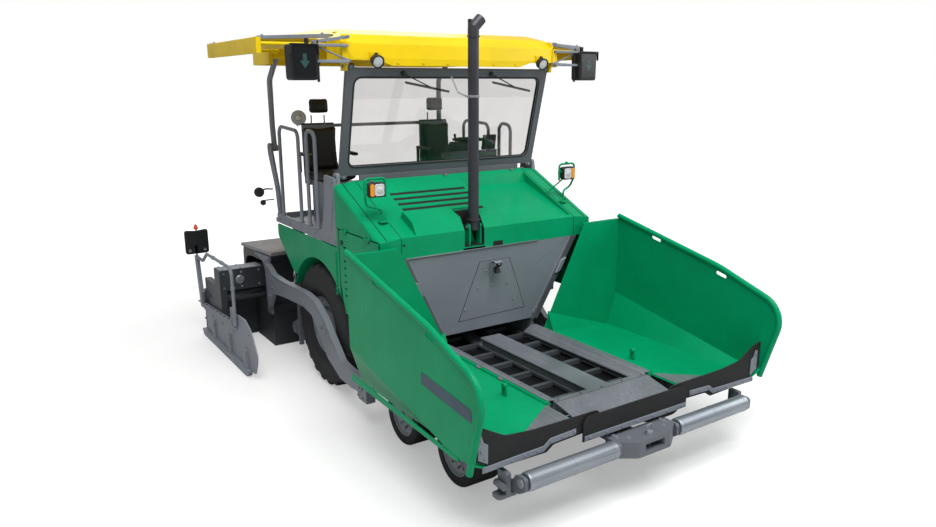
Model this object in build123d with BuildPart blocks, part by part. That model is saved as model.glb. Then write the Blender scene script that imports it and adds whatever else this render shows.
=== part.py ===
"""Wheeled asphalt paver: tractor with hopper, folding roof and extending screed.

Millimetres. +X is the machine's left, -Y its front, +Z up; the ground is z = 0.
"""
import os
from math import cos, hypot, radians, sin

from build123d import *

# ---- Overall ----------------------------------------------------------------
front_overhang = 3663  # rear axle to the coupling's nose
rear_overhang = 2650  # rear axle to the end gates
axle_y = (front_overhang - rear_overhang) / 2


def behind(distance):
    """Y of a station behind the rear axle; ahead of it is negative."""
    return axle_y + distance


# ---- Plate, tube and fits ---------------------------------------------------
sheet = 12  # hopper and body panels
plate = 20  # frame and screed plates
spin_fit = 0.05  # radial clearance of a pin or spindle in its bore
hinge_pin_r, hinge_eye_r = 4, 8  # hinges of the side doors
gap = 6  # clearance between pieces that move past each other
seat = 0.3  # standing gap between faces of different bodies

# ---- Rear wheels ------------------------------------------------------------
rear_tyre_r, rear_tyre_w, rear_rim_r = 683, 385, 317
rear_tyre_x = 1068  # middle of the tyre
drive_r, drive_spindle_r = 190, 120

# ---- Front wheels -----------------------------------------------------------
front_tyre_r, front_tyre_w, front_rim_r = 280, 300, 195
front_tyre_x = 1080
row_stations = (("front", -2620), ("second", -1730))
kingpin_x, kingpin_r, kingpin_boss_r = 800, 28, 55
spindle_r = 35
wheel_holes = 10  # hand holes in each rim's disc

# ---- Main frame and conveyor ------------------------------------------------
frame_half = 600  # outside of the side plates
frame_low, deck_z = 330, 1080
tunnel_floor_z, slat_top_z = 600, 650
frame_front, frame_rear = -3040, 860
conveyor_in, conveyor_out = 130, 470
chain_r = 95
slat_pitch = 300

# ---- Hopper -----------------------------------------------------------------
frame_top = 690  # side plates beside the conveyor
hinge_r = 22
hinge_x, hinge_z = 587, frame_top + hinge_r + seat
hinge_pitch, knuckle_length = 340, 60
floor_edge = (1507, 618)
chamfer_rear_z, chamfer_front_z, chamfer_front_d = 970, 672, -3190
wall_x, wall_top = 1632, 1830
hopper_rear, hopper_front = -1538, -3420
rail_r = 26
rail_bends = (1500, 230)
rail_route = ((hopper_rear, wall_top), (-2900, 1529), (-3635, 1277), (-3435, 593))
hopper_nose = rail_route[2][0]

# ---- Push bar ---------------------------------------------------------------
roller_r, roller_in, roller_out = 72, 350, 1226
roller_d = -3563
roller_z = 470
bar_pin_d = -3150

# ---- Hood -------------------------------------------------------------------
body_half = 1275
hood_front, hood_seam_x = -1457, 1040
door_top, door_hinge_x, door_hinge_z = 1838, body_half + 8, 1844
door_hinges = (-1240, -740)
hood_low, hood_rear = 1665, -530
hood_edge_z, hood_slope = 1868, 0.463  # height of the front edge and rise of the top
shoulder_drop, shoulder_r = 25, 45
block_x, small_block_x, bay_x = (-880, -360), (-104, 100), (130, 1015)
channel_x, channel_rear = (-360, -104), -1215
louvres, louvre_pitch, louvre_width = 5, 85, 42
screen_foot = (-487, 2340)

# ---- Platform and roof ------------------------------------------------------
floor_z = 1700
floor_half = 1240 - seat
screen_head = (-756, 3400)
post_foot = (1420, 2500)
roof_half, roof_front, roof_rear = 1280, -850, 1760
roof_low, roof_high = 3455, 3790
roof_wall = 45
awning_out, awning_d = 1950, (-440, 1000)
awning_rods, awning_rod_z = (-480, 1040), 3597
pipe_x, pipe_d, pipe_r = -200, -1390, 52
pipe_foot_z, pipe_top_z = 1880, 3830

# ---- Screed -----------------------------------------------------------------
screed_half = 1277
screed_front, pan_rear, screed_rear = 1514, 2150, 2590
extension_front = 2180
extension_half = 1225  # width of one extension
gate_x = 1873
gate_brackets = (780, 1400, 2060)
tow = (-1180, 400)
arm_in, arm_out = 1305, 1345
out_travel, in_travel = 620, 490
tube_r, tube_d, tube_z = 30, 1825, (620, 700)  # guide tubes of an extension
beam_d, beam_z = (1730, 1960), (750, 1010)

# ---- Lift cylinders ---------------------------------------------------------
barrel_pin, eye = (660, 1610), (920, 930)
barrel_length, rod_length = 386, 382


# ---- Shaping helpers --------------------------------------------------------
def side_plane(x):
    """Plane across X: sketch points are (y, z), and it extrudes towards +X."""
    return Plane.YZ.offset(x)


def cross_plane(station):
    """Plane across Y at a station: sketch points are (x, z), extruding rearwards."""
    return Plane((0, behind(station), 0), x_dir=(-1, 0, 0), z_dir=(0, 1, 0))


def outline(plane, points, depth, mode=Mode.ADD, corner=0):
    """Extrude a closed outline. A point's third value is its corner radius, else all have the given one."""
    radii = [point[2] if len(point) == 3 else corner for point in points]
    with BuildSketch(plane) as face:
        with BuildLine():
            FilletPolyline(*[point[:2] for point in points], radius=radii, close=True)
        make_face()
    extrude(face.sketch, amount=depth, mode=mode)


def side_outline(x, points, depth, mode=Mode.ADD, corner=0):
    """Outline given as (station, z) points, extruded along X."""
    outline(side_plane(x), [(behind(d), *rest) for d, *rest in points], depth, mode, corner)


def cross_outline(station, points, depth, mode=Mode.ADD, corner=0):
    """Outline given as (x, z) points, extruded rearwards from a station."""
    outline(cross_plane(station), [(-x, *rest) for x, *rest in points], depth, mode, corner)


def flat_outline(z, points, depth, mode=Mode.ADD, corner=0):
    """Outline given as (x, station) points, extruded upwards."""
    outline(Plane.XY.offset(z), [(x, behind(d), *rest) for x, d, *rest in points], depth, mode, corner)


def turned(x, station, z, points, mode=Mode.ADD):
    """Turn a closed (x, radius) outline about an X axis; a third value is a corner radius."""
    centre = (x, behind(station), z)
    with BuildSketch(Plane(centre, x_dir=(1, 0, 0), z_dir=(0, -1, 0))) as section:
        with BuildLine():
            FilletPolyline(*[point[:2] for point in points], close=True,
                           radius=[point[2] if len(point) == 3 else 0 for point in points])
        make_face()
    revolve(section.sketch, axis=Axis(centre, (1, 0, 0)), mode=mode)


def block(x, d, z, mode=Mode.ADD):
    """Block between pairs of x, station and z."""
    middle = ((x[0] + x[1]) / 2, behind((d[0] + d[1]) / 2), (z[0] + z[1]) / 2)
    with Locations(middle):
        Box(abs(x[1] - x[0]), abs(d[1] - d[0]), abs(z[1] - z[0]), mode=mode)


def drum(axis, x, d, z, radius, length, mode=Mode.ADD):
    """Cylinder along an axis, centred at x, station, z."""
    turn = {"X": (0, 90, 0), "Y": (90, 0, 0), "Z": (0, 0, 0)}[axis]
    with Locations(Location((x, behind(d), z), turn)):
        Cylinder(radius, length, mode=mode)


def tube(points, radius, bend):
    """Round bar along (x, station, z) points; a list gives each bend its own radius."""
    route = [(x, behind(d), z) for x, d, z in points]
    with BuildLine() as path:
        if len(route) > 2:
            FilletPolyline(*route, radius=bend)
        else:
            Line(*route)
    with BuildSketch(Plane(path.line @ 0, z_dir=path.line % 0)) as section:
        Circle(radius)
    sweep(section.sketch, path=path.line)


def bent_sheet(points, thickness):
    """Outline of a bent sheet: its inner line, then the line one thickness to the right of it."""
    steps = [(x1 - x0, z1 - z0) for (x0, z0), (x1, z1) in zip(points, points[1:])]
    normals = [(dz / hypot(dx, dz), -dx / hypot(dx, dz)) for dx, dz in steps]
    before, after = [normals[0], *normals], [*normals, normals[-1]]
    outer = []
    for (x, z), (ax, az), (bx, bz) in zip(points, before, after):
        share = thickness / (1 + ax * bx + az * bz)
        outer.append((x + (ax + bx) * share, z + (az + bz) * share))
    return [*points, *reversed(outer)]


def save(part, name):
    """Label a finished piece and write it."""
    part.part.label = name
    export_step(part.part, f"parts/{name}.step")


def tunnel_wall_d(z):
    """Station of the frame's face behind the leaning plate over the tunnel's mouth."""
    return hood_front + 10 + seat + (hood_low - z) * 80 / 855


sides = (("left", 1), ("right", -1))
os.makedirs("parts", exist_ok=True)

# ==== Tractor: frame and running gear ========================================
guide_x = (1080, 1130)
eye_d = frame_front - 85  # lashing eyes
wing_pin_r = 9
hinge_knuckles = int((hopper_rear - frame_front - 150) / hinge_pitch)
guide_d = (1020, 1060)
auger_d, auger_z, auger_r, auger_end, flight_pitch = 1220, 300, 180, 1040, 290
tow_beam_d, tow_beam_z = (-1270, -1090), (340, 460)

with BuildPart() as chassis_frame:
    for _, side in sides:
        side_outline(
            side * frame_half,
            [(frame_front, 430), (-1480, frame_low), (560, frame_low), (frame_rear, 560),
             (frame_rear, deck_z), (tunnel_wall_d(deck_z), deck_z), (tunnel_wall_d(frame_top), frame_top),
             (frame_front, frame_top)],
            -side * 2 * plate,
        )
        # arm and guide post that the screed rises along
        side_outline(side * (frame_half - 2 * plate), [(560, 880), (guide_d[0], 1090),
                     (guide_d[1], 1090), (guide_d[1], 1340), (guide_d[0], 1340), (930, deck_z),
                     (560, deck_z)], side * 2 * plate)
        block((side * frame_half, side * guide_x[1]), guide_d, (1180, 1340))
        block((side * guide_x[0], side * guide_x[1]), guide_d, (130, 1180))
        # hanger of the auger's outer bearing
        side_outline(side * guide_x[0], [(guide_d[1], 470), (auger_d + 50, auger_z + 60),
                     (auger_d + 50, auger_z - 60), (guide_d[1], 200)], side * 25)
        drum("X", side * (guide_x[0] + 10), auger_d, auger_z, 30 + spin_fit, 60, Mode.SUBTRACT)
        # outrigger and clevis of the tow point
        block((side * (frame_half - plate), side * (arm_in - gap)), tow_beam_d, tow_beam_z)
        for x in (arm_in - gap - 20, arm_out + gap):
            side_outline(side * x, [(-1300, 262), (-1300, 520), (-1125, 480), (-1060, 400),
                         (-1125, 262)], side * 20)
        block((side * (arm_in - gap), side * (arm_out + gap)), (-1300, -1286), (262, 500))
        drum("X", side * (arm_in + arm_out) / 2, tow[0], tow[1], 30, arm_out - arm_in + 2 * gap + 40)
        # lashing eye
        side_outline(side * (frame_half - 2 * plate), [(frame_front + 60, 450), (frame_front + 60, 590),
                     (eye_d - 55, 590, 50), (eye_d - 55, 450, 50)], side * 30)
        drum("X", side * (frame_half - plate), eye_d, 520, 30, 60, Mode.SUBTRACT)
        # knuckles and pin of the wing's hinge
        for k in range(hinge_knuckles):
            d = hopper_rear - 150 - k * hinge_pitch
            block((side * (hinge_x - hinge_r + 4), side * (frame_half)), (d, d - knuckle_length),
                  (frame_top - 5, hinge_z))
            drum("Y", side * hinge_x, d - knuckle_length / 2, hinge_z, hinge_r, knuckle_length)
        drum("Y", side * hinge_x, (hopper_rear + frame_front) / 2, hinge_z, wing_pin_r,
             hopper_rear - frame_front)
    block((-frame_half + 40, frame_half - 40), (frame_front + 160, frame_rear - 100),
          (tunnel_floor_z - 15, tunnel_floor_z))
    block((-frame_half + 40, frame_half - 40), (-1370, frame_rear), (deck_z - 15, deck_z))
    block((-frame_half + 40, frame_half - 40), (-2290, -2060), (frame_low + 90, 440))
    block((-frame_half, frame_half), (frame_front - 40, frame_front), (430, 560))
    # nose that carries the push bar's swivel pin
    flat_outline(430, [(-220, frame_front), (-90, bar_pin_d - 70), (90, bar_pin_d - 70),
                       (220, frame_front)], 30)
    drum("Z", 0, bar_pin_d, 425, 35, 150)
    # gearbox between the augers, hung from the frame's rear
    side_outline(-60, [(frame_rear, deck_z - 15), (frame_rear + 120, deck_z - 15),
                       (auger_d + 60, auger_z + 90),
                 (auger_d + 60, auger_z - 90), (auger_d - 90, auger_z - 90), (frame_rear,
                                                                              deck_z - 420)], 120)
    block((-frame_half + 40, frame_half - 40), (frame_rear - 15, frame_rear), (deck_z - 60, deck_z - 15))

with BuildPart() as final_drives:
    for _, side in sides:
        turned(0, 0, rear_tyre_r, [(side * frame_half, 0), (side * frame_half, drive_r),
                                   (side * (frame_half + 340), drive_r, 20),
               (side * (frame_half + 340), drive_spindle_r), (side * (frame_half + 550), drive_spindle_r),
               (side * (frame_half + 550), 0)])

with BuildPart() as engine_block:
    block((-560, 560), (-1340, -150), (deck_z, 1655))

with BuildPart() as front_axle:
    mid = (row_stations[0][1] + row_stations[1][1]) / 2
    block((-kingpin_x, kingpin_x), (mid - 60, mid + 60), (200, 330))
    block((-120, 120), (mid - 90, mid + 90), (330, frame_low + 90))
    for _, side in sides:
        block((side * (kingpin_x - 110), side * (kingpin_x - 28)),
              (row_stations[0][1] - 30, row_stations[1][1] + 30), (200, 350))
        for _, station in row_stations:
            drum("Z", side * kingpin_x, station, 280, kingpin_boss_r, 230)
    for _, side in sides:
        for _, station in row_stations:
            drum("Z", side * kingpin_x, station, 280, kingpin_r + spin_fit, 240, Mode.SUBTRACT)

for part, name in ((chassis_frame, "chassis_frame"), (final_drives, "final_drives"),
                   (engine_block, "engine_block"), (front_axle, "front_axle")):
    save(part, name)

hub_z = front_tyre_r
for row, station in row_stations:
    for name, side in sides:
        with BuildPart() as knuckle:
            for z in (hub_z + 115 + 2, hub_z - 115 - 2 - 35):
                flat_outline(z, [(side * (kingpin_x - 50), station - 45),
                                 (side * (kingpin_x + 112), station - 45),
                                 (side * (kingpin_x + 112), station + 45), (side * (kingpin_x - 50),
                                                                            station + 45)], 35)
            drum("Z", side * kingpin_x, station, hub_z, kingpin_r, 304)
            block((side * (kingpin_x + 88), side * (kingpin_x + 112)), (station - 45, station + 45),
                  (hub_z - 152, hub_z + 152))
            drum("X", side * (kingpin_x + 210), station, hub_z, spindle_r, 230)
        save(knuckle, f"{row}_knuckle_{name}")

        with BuildPart() as tyre:
            half = front_tyre_w / 2
            turned(side * front_tyre_x, station, hub_z, [(-half, front_rim_r), (-half, front_tyre_r, 28),
                   (half, front_tyre_r, 28), (half, front_rim_r)])
        save(tyre, f"{row}_tyre_{name}")

        with BuildPart() as rim:
            # barrel with a dished disc at its outer end and a hub in its middle
            turned(side * front_tyre_x, station, hub_z,
                   [(side * -140, front_rim_r), (side * 140, front_rim_r),
                   (side * 140, front_rim_r - 14), (side * 120, front_rim_r - 28, 12), (side * 104, 120,
                                                                                        12),
                   (side * 116, 104, 8), (side * 132, 92, 8), (side * 132, 0), (side * 60, 0), (side * 60,
                                                                                                spindle_r),
                   (side * -50, spindle_r), (side * -50, 70), (side * 92, 84, 8), (side * 92,
                                                                                   front_rim_r - 15),
                   (side * -140, front_rim_r - 15)])
            drum("X", side * (front_tyre_x - 60), station, hub_z, spindle_r + spin_fit, front_tyre_w - 10,
                 Mode.SUBTRACT)
            for k in range(wheel_holes):
                turn = radians(360 / wheel_holes * (k + 0.5))
                drum("X", side * (front_tyre_x + 110), station + 138 * cos(turn), hub_z + 138 * sin(turn),
                     13, 60,
                     Mode.SUBTRACT)
        save(rim, f"{row}_rim_{name}")

for name, side in sides:
    with BuildPart() as tyre:
        half = rear_tyre_w / 2
        turned(side * rear_tyre_x, 0, rear_tyre_r, [(30 - half, rear_rim_r), (-half, rear_rim_r + 90, 60),
               (12 - half, rear_tyre_r - 8, 55), (0, rear_tyre_r, 400), (half - 12, rear_tyre_r - 8, 55),
               (half, rear_rim_r + 90, 60), (half - 30, rear_rim_r)])
    save(tyre, f"rear_tyre_{name}")

    with BuildPart() as rim:
        # barrel, dished disc and the hub that turns on the final drive's spindle
        turned(side * rear_tyre_x, 0, rear_tyre_r, [(side * -160, rear_rim_r), (side * 160, rear_rim_r),
               (side * 160, rear_rim_r - 18), (side * 70, rear_rim_r - 34, 20), (side * 58, 200,
                                                                                 12), (side * 90, 150, 12),
               (side * 110, 130, 8), (side * 110, 0), (side * 90, 0), (side * 90, drive_spindle_r),
               (side * 20, drive_spindle_r), (side * 20, 190, 12), (side * 34,
                                                                    rear_rim_r - 20), (side * -160,
                                                                                       rear_rim_r - 20)])
        drum("X", side * (rear_tyre_x - 55), 0, rear_tyre_r, drive_spindle_r + spin_fit, 290, Mode.SUBTRACT)
        for k in range(wheel_holes):
            turn = radians(360 / wheel_holes * k)
            drum("X", side * (rear_tyre_x + 50), 235 * cos(turn), rear_tyre_r + 235 * sin(turn), 22, 120,
                 Mode.SUBTRACT)
    save(rim, f"rear_rim_{name}")

# ==== Conveyor and hopper ====================================================
with BuildPart() as conveyor:
    for _, side in sides:
        run_front, run_rear = frame_front + 60, frame_rear - 30
        for x in (conveyor_in, conveyor_out - 20):
            with BuildSketch(side_plane(side * x)) as loop:
                with Locations((behind((run_front + run_rear) / 2), slat_top_z - chain_r)):
                    SlotOverall(run_rear - run_front, 2 * chain_r)
                    SlotOverall(run_rear - run_front - 50, 2 * chain_r - 50, mode=Mode.SUBTRACT)
            extrude(loop.sketch, amount=side * 20)
        for k in range(int((run_rear - run_front - 2 * chain_r) / slat_pitch) + 1):
            d = run_front + chain_r + 10 + k * slat_pitch
            block((side * conveyor_in, side * conveyor_out), (d, d + 45),
                  (tunnel_floor_z + seat, slat_top_z - 5))
save(conveyor, "conveyor")

apron_half, tongue_half = 530, 365
flap_d = -3458
beam_half, beam_top = 165, 722
with BuildPart() as conveyor_covers:
    cover_d = (frame_front + 30, -1400)
    cross_outline(cover_d[0], [(-110, tunnel_floor_z), (-110, 690), (-beam_half, 700),
                               (-beam_half, beam_top, 8),
                  (beam_half, beam_top, 8), (beam_half, 700), (110, 690), (110, tunnel_floor_z)],
                  cover_d[1] - cover_d[0])
    for _, side in sides:
        # cover sloping from the side plate over the conveyor's outer part
        cross_outline(cover_d[0], [(side * (frame_half - 2 * plate), 740), (side * 545, 740),
                                   (side * 300, 672),
                      (side * 300, 660), (side * 545, 712), (side * (frame_half - 2 * plate), 712)],
                      cover_d[1] - cover_d[0])
    # apron that bridges the conveyors' front, its tongue reaching the centre flap
    side_outline(-apron_half, bent_sheet([(frame_front + 30, 724), (-3060, 724), (-3300, 672),
                                          (flap_d, 610)], sheet),
                 2 * apron_half)
    side_outline(-apron_half, [(frame_front, 560), (frame_front + 30, 560), (frame_front + 30, 712),
                               (frame_front, 712)],
                 2 * apron_half)
    block((-apron_half, apron_half), (flap_d + 12, flap_d - 40), (500, 760), Mode.SUBTRACT)
    for _, side in sides:
        block((side * tongue_half, side * 700), (hopper_front + gap, flap_d - 40), (500, 760),
              Mode.SUBTRACT)
save(conveyor_covers, "conveyor_covers")

with BuildPart() as centre_flap:
    cross_outline(flap_d, [(-585, 552), (585, 552), (585, 755, 70), (-585, 755, 70)], 12)
save(centre_flap, "centre_flap")

for name, side in sides:
    with BuildPart() as wing:
        # floor, leaning chamfer and side wall, the chamfer narrowing towards the front
        sections = []
        for d, foot_z in ((hopper_rear, chamfer_rear_z), (chamfer_front_d, chamfer_front_z),
                          (hopper_nose, chamfer_front_z)):
            foot = (wall_x - sheet - 4, foot_z)
            line = [(hinge_x, hinge_z), floor_edge, foot, (wall_x - sheet, wall_top)]
            with BuildSketch(cross_plane(d)) as section:
                Polygon(*[(-side * x, z) for x, z in bent_sheet(line, sheet)], align=None)
            sections.append(section.sketch)
        loft(sections, ruled=True)
        # everything stays behind the rail's line, and the floor ends at the hopper's front
        with BuildSketch(side_plane(side * (hinge_x - 100))) as side_view:
            with BuildLine():
                rail_line = FilletPolyline(*[(behind(d), z) for d, z in rail_route], radius=rail_bends)
                Polyline(rail_line @ 1, (behind(rail_route[3][0]), 540), (behind(hopper_rear), 540),
                         rail_line @ 0)
            make_face()
        extrude(side_view.sketch, amount=side * 1200, mode=Mode.INTERSECT)
        block((side * (hinge_x - 60), side * 1490), (hopper_front, hopper_nose - 40), (560, 900),
              Mode.SUBTRACT)
        tube([(side * (wall_x - 7), d, z) for d, z in rail_route], rail_r, rail_bends)
        # rear wall let into the sheets, its folded top, and the gusset that sheds mix from its foot
        cross_outline(hopper_rear - sheet, [(side * x, z) for x, z in
                      [(hinge_x, hinge_z - 6), (floor_edge[0] + 4, floor_edge[1] - 6),
                       (wall_x - 9, chamfer_rear_z), (wall_x - 5, 1775), (1120, 1800), (640, 820)]], sheet)
        side_outline(side * 1120, [(hopper_rear - sheet, 1765), (hopper_rear - sheet, 1797),
                                   (hopper_rear + 38, 1797),
                     (hopper_rear + 38, 1785), (hopper_rear, 1785), (hopper_rear,
                                                                     1765)], side * (wall_x - 1124))
        with BuildSketch(side_plane(side * 640)) as gusset:
            with BuildLine():
                Polyline((behind(hopper_rear - 116), 700), (behind(hopper_rear - 6), 912),
                         (behind(hopper_rear - 6), 700),
                         close=True)
            make_face()
        loft([gusset.sketch, Vertex(side * floor_edge[0], behind(hopper_rear - 10), floor_edge[1] - 4)],
             ruled=True)
        # hinge tube in lengths between the frame's knuckles
        drum("Y", side * hinge_x, hopper_rear - 900, hinge_z, hinge_r - 1, 2000, Mode.SUBTRACT)
        for k in range(hinge_knuckles):
            d = hopper_rear - 150 - k * hinge_pitch - knuckle_length / 2
            drum("Y", side * hinge_x, d, hinge_z, hinge_r + gap, knuckle_length + 2 * gap, Mode.SUBTRACT)
        tube_ends = [hopper_rear + gap]
        for k in range(hinge_knuckles):
            tube_ends += [hopper_rear - 150 - k * hinge_pitch + gap,
                          hopper_rear - 150 - k * hinge_pitch - knuckle_length - gap]
        tube_ends.append(frame_front)
        for start, end in zip(tube_ends[::2], tube_ends[1::2]):
            with BuildSketch(cross_plane(end)) as ring:
                with Locations((-side * hinge_x, hinge_z)):
                    Circle(hinge_r)
                    Circle(wing_pin_r + spin_fit, mode=Mode.SUBTRACT)
            extrude(ring.sketch, amount=start - end)
        # slots under the rail
        for d, z in ((-2095, 1666), (-2930, 1456)):
            with BuildSketch(side_plane(side * (wall_x - 60))) as slot:
                with Locations((behind(d), z)):
                    SlotOverall(125, 36, rotation=13)
            extrude(slot.sketch, amount=side * 100, mode=Mode.SUBTRACT)
    save(wing, f"hopper_wing_{name}")

    with BuildPart() as flap:
        cross_outline(hopper_front - 14, [(side * x, z) for x, z in
                      [(1484, 572), (1484, 636), (1512, 636), (1600, 692), (1600, 930),
                       (1500, 905)]] + [(side * 1310, 800, 160), (side * 1060, 775, 300),
                      (side * 400, 768, 40), (side * 390, 622, 12), (side * 860, 606, 60), (side * 930,
                                                                                            560, 30)], 14)
    save(flap, f"wing_flap_{name}")

bracket_x = (roller_out + 10, roller_out + 130)
with BuildPart() as push_bar:
    # box beam, its ends closed by stepped brackets that hold the rollers
    side_outline(-1290, [(-3450, 350), (-3450, 400, 10), (-3372, 400, 10), (-3372, 350, 10)], 2580)
    for _, side in sides:
        for x in (bracket_x[0], roller_in - 40):
            side_outline(side * x, [(-3375, 345), (roller_d + 30, 372, 40), (roller_d - 46, 420, 30),
                                    (roller_d - 46, 520, 30),
                         (roller_d + 46, 520, 30), (-3440, 440, 20), (-3375, 425)], side * 30)
        drum("X", side * (roller_in + roller_out) / 2, roller_d, roller_z, 20, roller_out - roller_in + 60)
        side_outline(side * (bracket_x[1] - 70),
                     [(-3470, 330), (-3470, 520, 12), (-3360, 520, 12), (-3360, 330)],
                     side * 40)
        flat_outline(330, [(side * bracket_x[0], -3472), (side * (bracket_x[1] + 40), -3472, 30),
                     (side * (bracket_x[1] + 40), -3372, 30), (side * bracket_x[0], -3372)], 24)
        drum("Y", side * (bracket_x[1] - 10), -3420, 420, 26, 110)
    # casting in the middle with the mouth for a coupling pin
    flat_outline(385, [(-330, -3440), (-330, -3560, 60), (-180, -front_overhang, 60),
                       (180, -front_overhang, 60),
                 (330, -3560, 60), (330, -3440)], 135)
    flat_outline(425, [(-115, -front_overhang - 40), (-80, -3520, 78), (80, -3520, 78),
                       (115, -front_overhang - 40)], 60,
                 Mode.SUBTRACT)
    drum("Z", 0, -3590, 455, 19, 160)
    side_outline(-120, [(-3470, 345), (-3470, 425), (bar_pin_d + 60, 425, 20), (bar_pin_d + 60, 345, 20)],
                 240)
    drum("Z", 0, bar_pin_d, 385, 35 + spin_fit, 120, Mode.SUBTRACT)
save(push_bar, "push_bar")

with BuildPart() as push_rollers:
    for _, side in sides:
        turned(0, roller_d, roller_z, [(side * roller_in, 20 + spin_fit), (side * roller_in, roller_r, 12),
               (side * roller_out, roller_r, 12), (side * roller_out, 20 + spin_fit)])
save(push_rollers, "push_rollers")

# ==== Hood and platform ======================================================
with BuildPart() as tunnel_plate:
    lean = Plane((0, behind(hood_front), hood_low - seat), x_dir=(1, 0, 0), z_dir=(0, -855, -80))
    outline(lean, [(-1010, -1.5), (1010, -1.5), (546, -859), (-546, -859)], -10)
    outline(lean, [(-420, -190), (420, -190), (300, -640), (-300, -640)], 8)
save(tunnel_plate, "tunnel_plate")



def hood_z(d):
    """Height of the hood's sloping top at a station."""
    return hood_edge_z + (d - hood_front) * hood_slope


def hood_form(inset):
    """Hood as a closed form, drawn in from its outside by an inset."""
    half, edge = body_half - inset, hood_edge_z - inset
    with BuildPart() as form:
        # sloping top with rounded shoulders, carried rearwards along its slope
        with BuildSketch(cross_plane(hood_front + inset)) as section:
            with BuildLine():
                FilletPolyline((-half, 1000), (-half, edge - shoulder_drop), (-hood_seam_x, edge),
                               (hood_seam_x, edge),
                               (half, edge - shoulder_drop), (half, 1000), close=True,
                               radius=(0, shoulder_r - inset, 200, 200, shoulder_r - inset, 0))
            make_face()
        run = hood_rear - hood_front - 2 * inset
        extrude(section.sketch, amount=run * hypot(1, hood_slope), dir=(0, 1, hood_slope))
        block((-half, half), (hood_front - 10, hood_rear + 10), (900, hood_low - 2 * inset), Mode.SUBTRACT)
        # two raised blocks behind the front edge
        for x, block_rear in ((block_x, -1190), (small_block_x, -1290)):
            side_outline(x[0] + inset, [(hood_front + inset, 1800), (hood_front + inset, edge),
                                        (-1375, 1990 - inset),
                         (block_rear, hood_z(block_rear) + 72 - inset), (block_rear + 36 - inset,
                                                                         hood_z(block_rear)),
                         (block_rear + 36 - inset, 1800)], x[1] - x[0] - 2 * inset)
        # bay sunk into the other half
        side_outline(bay_x[0] - inset, [(-1425, hood_z(-1425) + 40), (-1425, 1868 - inset),
                                        (-640 + inset, 2150 - inset),
                     (-590 + inset, hood_z(-590) + 40)], bay_x[1] - bay_x[0] + 2 * inset, Mode.SUBTRACT)
    return form.part


with BuildPart() as engine_hood:
    add(hood_form(0))
    add(hood_form(sheet), mode=Mode.SUBTRACT)
    for _, side in sides:
        # room for the doors' leaves, then the ears and pins of their hinges
        block((side * (body_half - sheet - 7), side * (body_half + 25)), (-1500, -500), (1600, 1852),
              Mode.SUBTRACT)
        for d in door_hinges:
            for end in (d - 30 - seat - 20, d + 30 + seat):
                block((side * (body_half - 2), side * (door_hinge_x + hinge_eye_r)), (end, end + 20),
                      (door_top + 1, door_hinge_z + 24))
            drum("Y", side * door_hinge_x, d, door_hinge_z, hinge_pin_r, 60 + 2 * seat + 40)
    for k in range(louvres):
        d = -775 - louvre_pitch * k
        block((-800, 90), (d, d - louvre_width), (1950, 2400), Mode.SUBTRACT)
    # trough that the exhaust folds through, its back curving down to the front
    block(channel_x, (hood_front - 20, channel_rear), (hood_low - 40, 2200), Mode.SUBTRACT)
    trough = (channel_rear - sheet, hood_z(channel_rear) + 55)
    side_outline(channel_x[0], [trough, (trough[0], 1702, 140), (hood_front, 1702),
                                (hood_front, 1702 - sheet),
                 (channel_rear, 1702 - sheet, 140 + sheet), (channel_rear,
                                                             trough[1])], channel_x[1] - channel_x[0])
    for x in (channel_x[0], channel_x[1] - sheet):
        side_outline(x, [(hood_front, 1690), (hood_front, hood_edge_z), (-1375, 1990),
                         (channel_rear, trough[1]),
                     (channel_rear, 1690)], sheet)
    for x in (pipe_x - pipe_r - 6 - 14, pipe_x + pipe_r + 6):
        side_outline(x, [(pipe_d - 36, 1695), (pipe_d - 36, pipe_foot_z + 34, 30),
                         (pipe_d + 36, pipe_foot_z + 34, 30),
                     (pipe_d + 36, 1695)], 14)
    drum("X", pipe_x, pipe_d, pipe_foot_z, 16 + spin_fit, 200, Mode.SUBTRACT)
save(engine_hood, "engine_hood")

with BuildPart() as exhaust_pipe:
    drum("Z", pipe_x, pipe_d, (pipe_foot_z - 30 + pipe_top_z) / 2, pipe_r, pipe_top_z - pipe_foot_z + 30)
    side_outline(pipe_x - 100, [(pipe_d - 120, pipe_top_z - 130), (pipe_d + 80, pipe_top_z + 10),
                 (pipe_d - 120, pipe_top_z + 10)], 200, Mode.SUBTRACT)
    drum("Z", pipe_x, pipe_d, pipe_top_z, pipe_r - 4, 400, Mode.SUBTRACT)
    drum("X", pipe_x, pipe_d, pipe_foot_z, 16, 2 * (pipe_r + 20))
save(exhaust_pipe, "exhaust_pipe")

for name, side in sides:
    with BuildPart() as door:
        side_outline(side * body_half, [(-1440, 1000), (-1440, door_top), (-600, door_top), (-600, 1300),
                                        (-700, 1000)],
                     -side * sheet)
        for d in door_hinges:
            block((side * body_half, side * (door_hinge_x + 2)), (d - 30, d + 30),
                  (door_top - 22, door_hinge_z))
            drum("Y", side * door_hinge_x, d, door_hinge_z, hinge_eye_r, 60)
            drum("Y", side * door_hinge_x, d, door_hinge_z, hinge_pin_r + spin_fit, 80, Mode.SUBTRACT)
        for k in range(8):
            block((side * body_half, side * (body_half - sheet)), (-760, -700),
                  (1180 + 70 * k, 1200 + 70 * k),
                  Mode.SUBTRACT)
    save(door, f"side_door_{name}")

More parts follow.
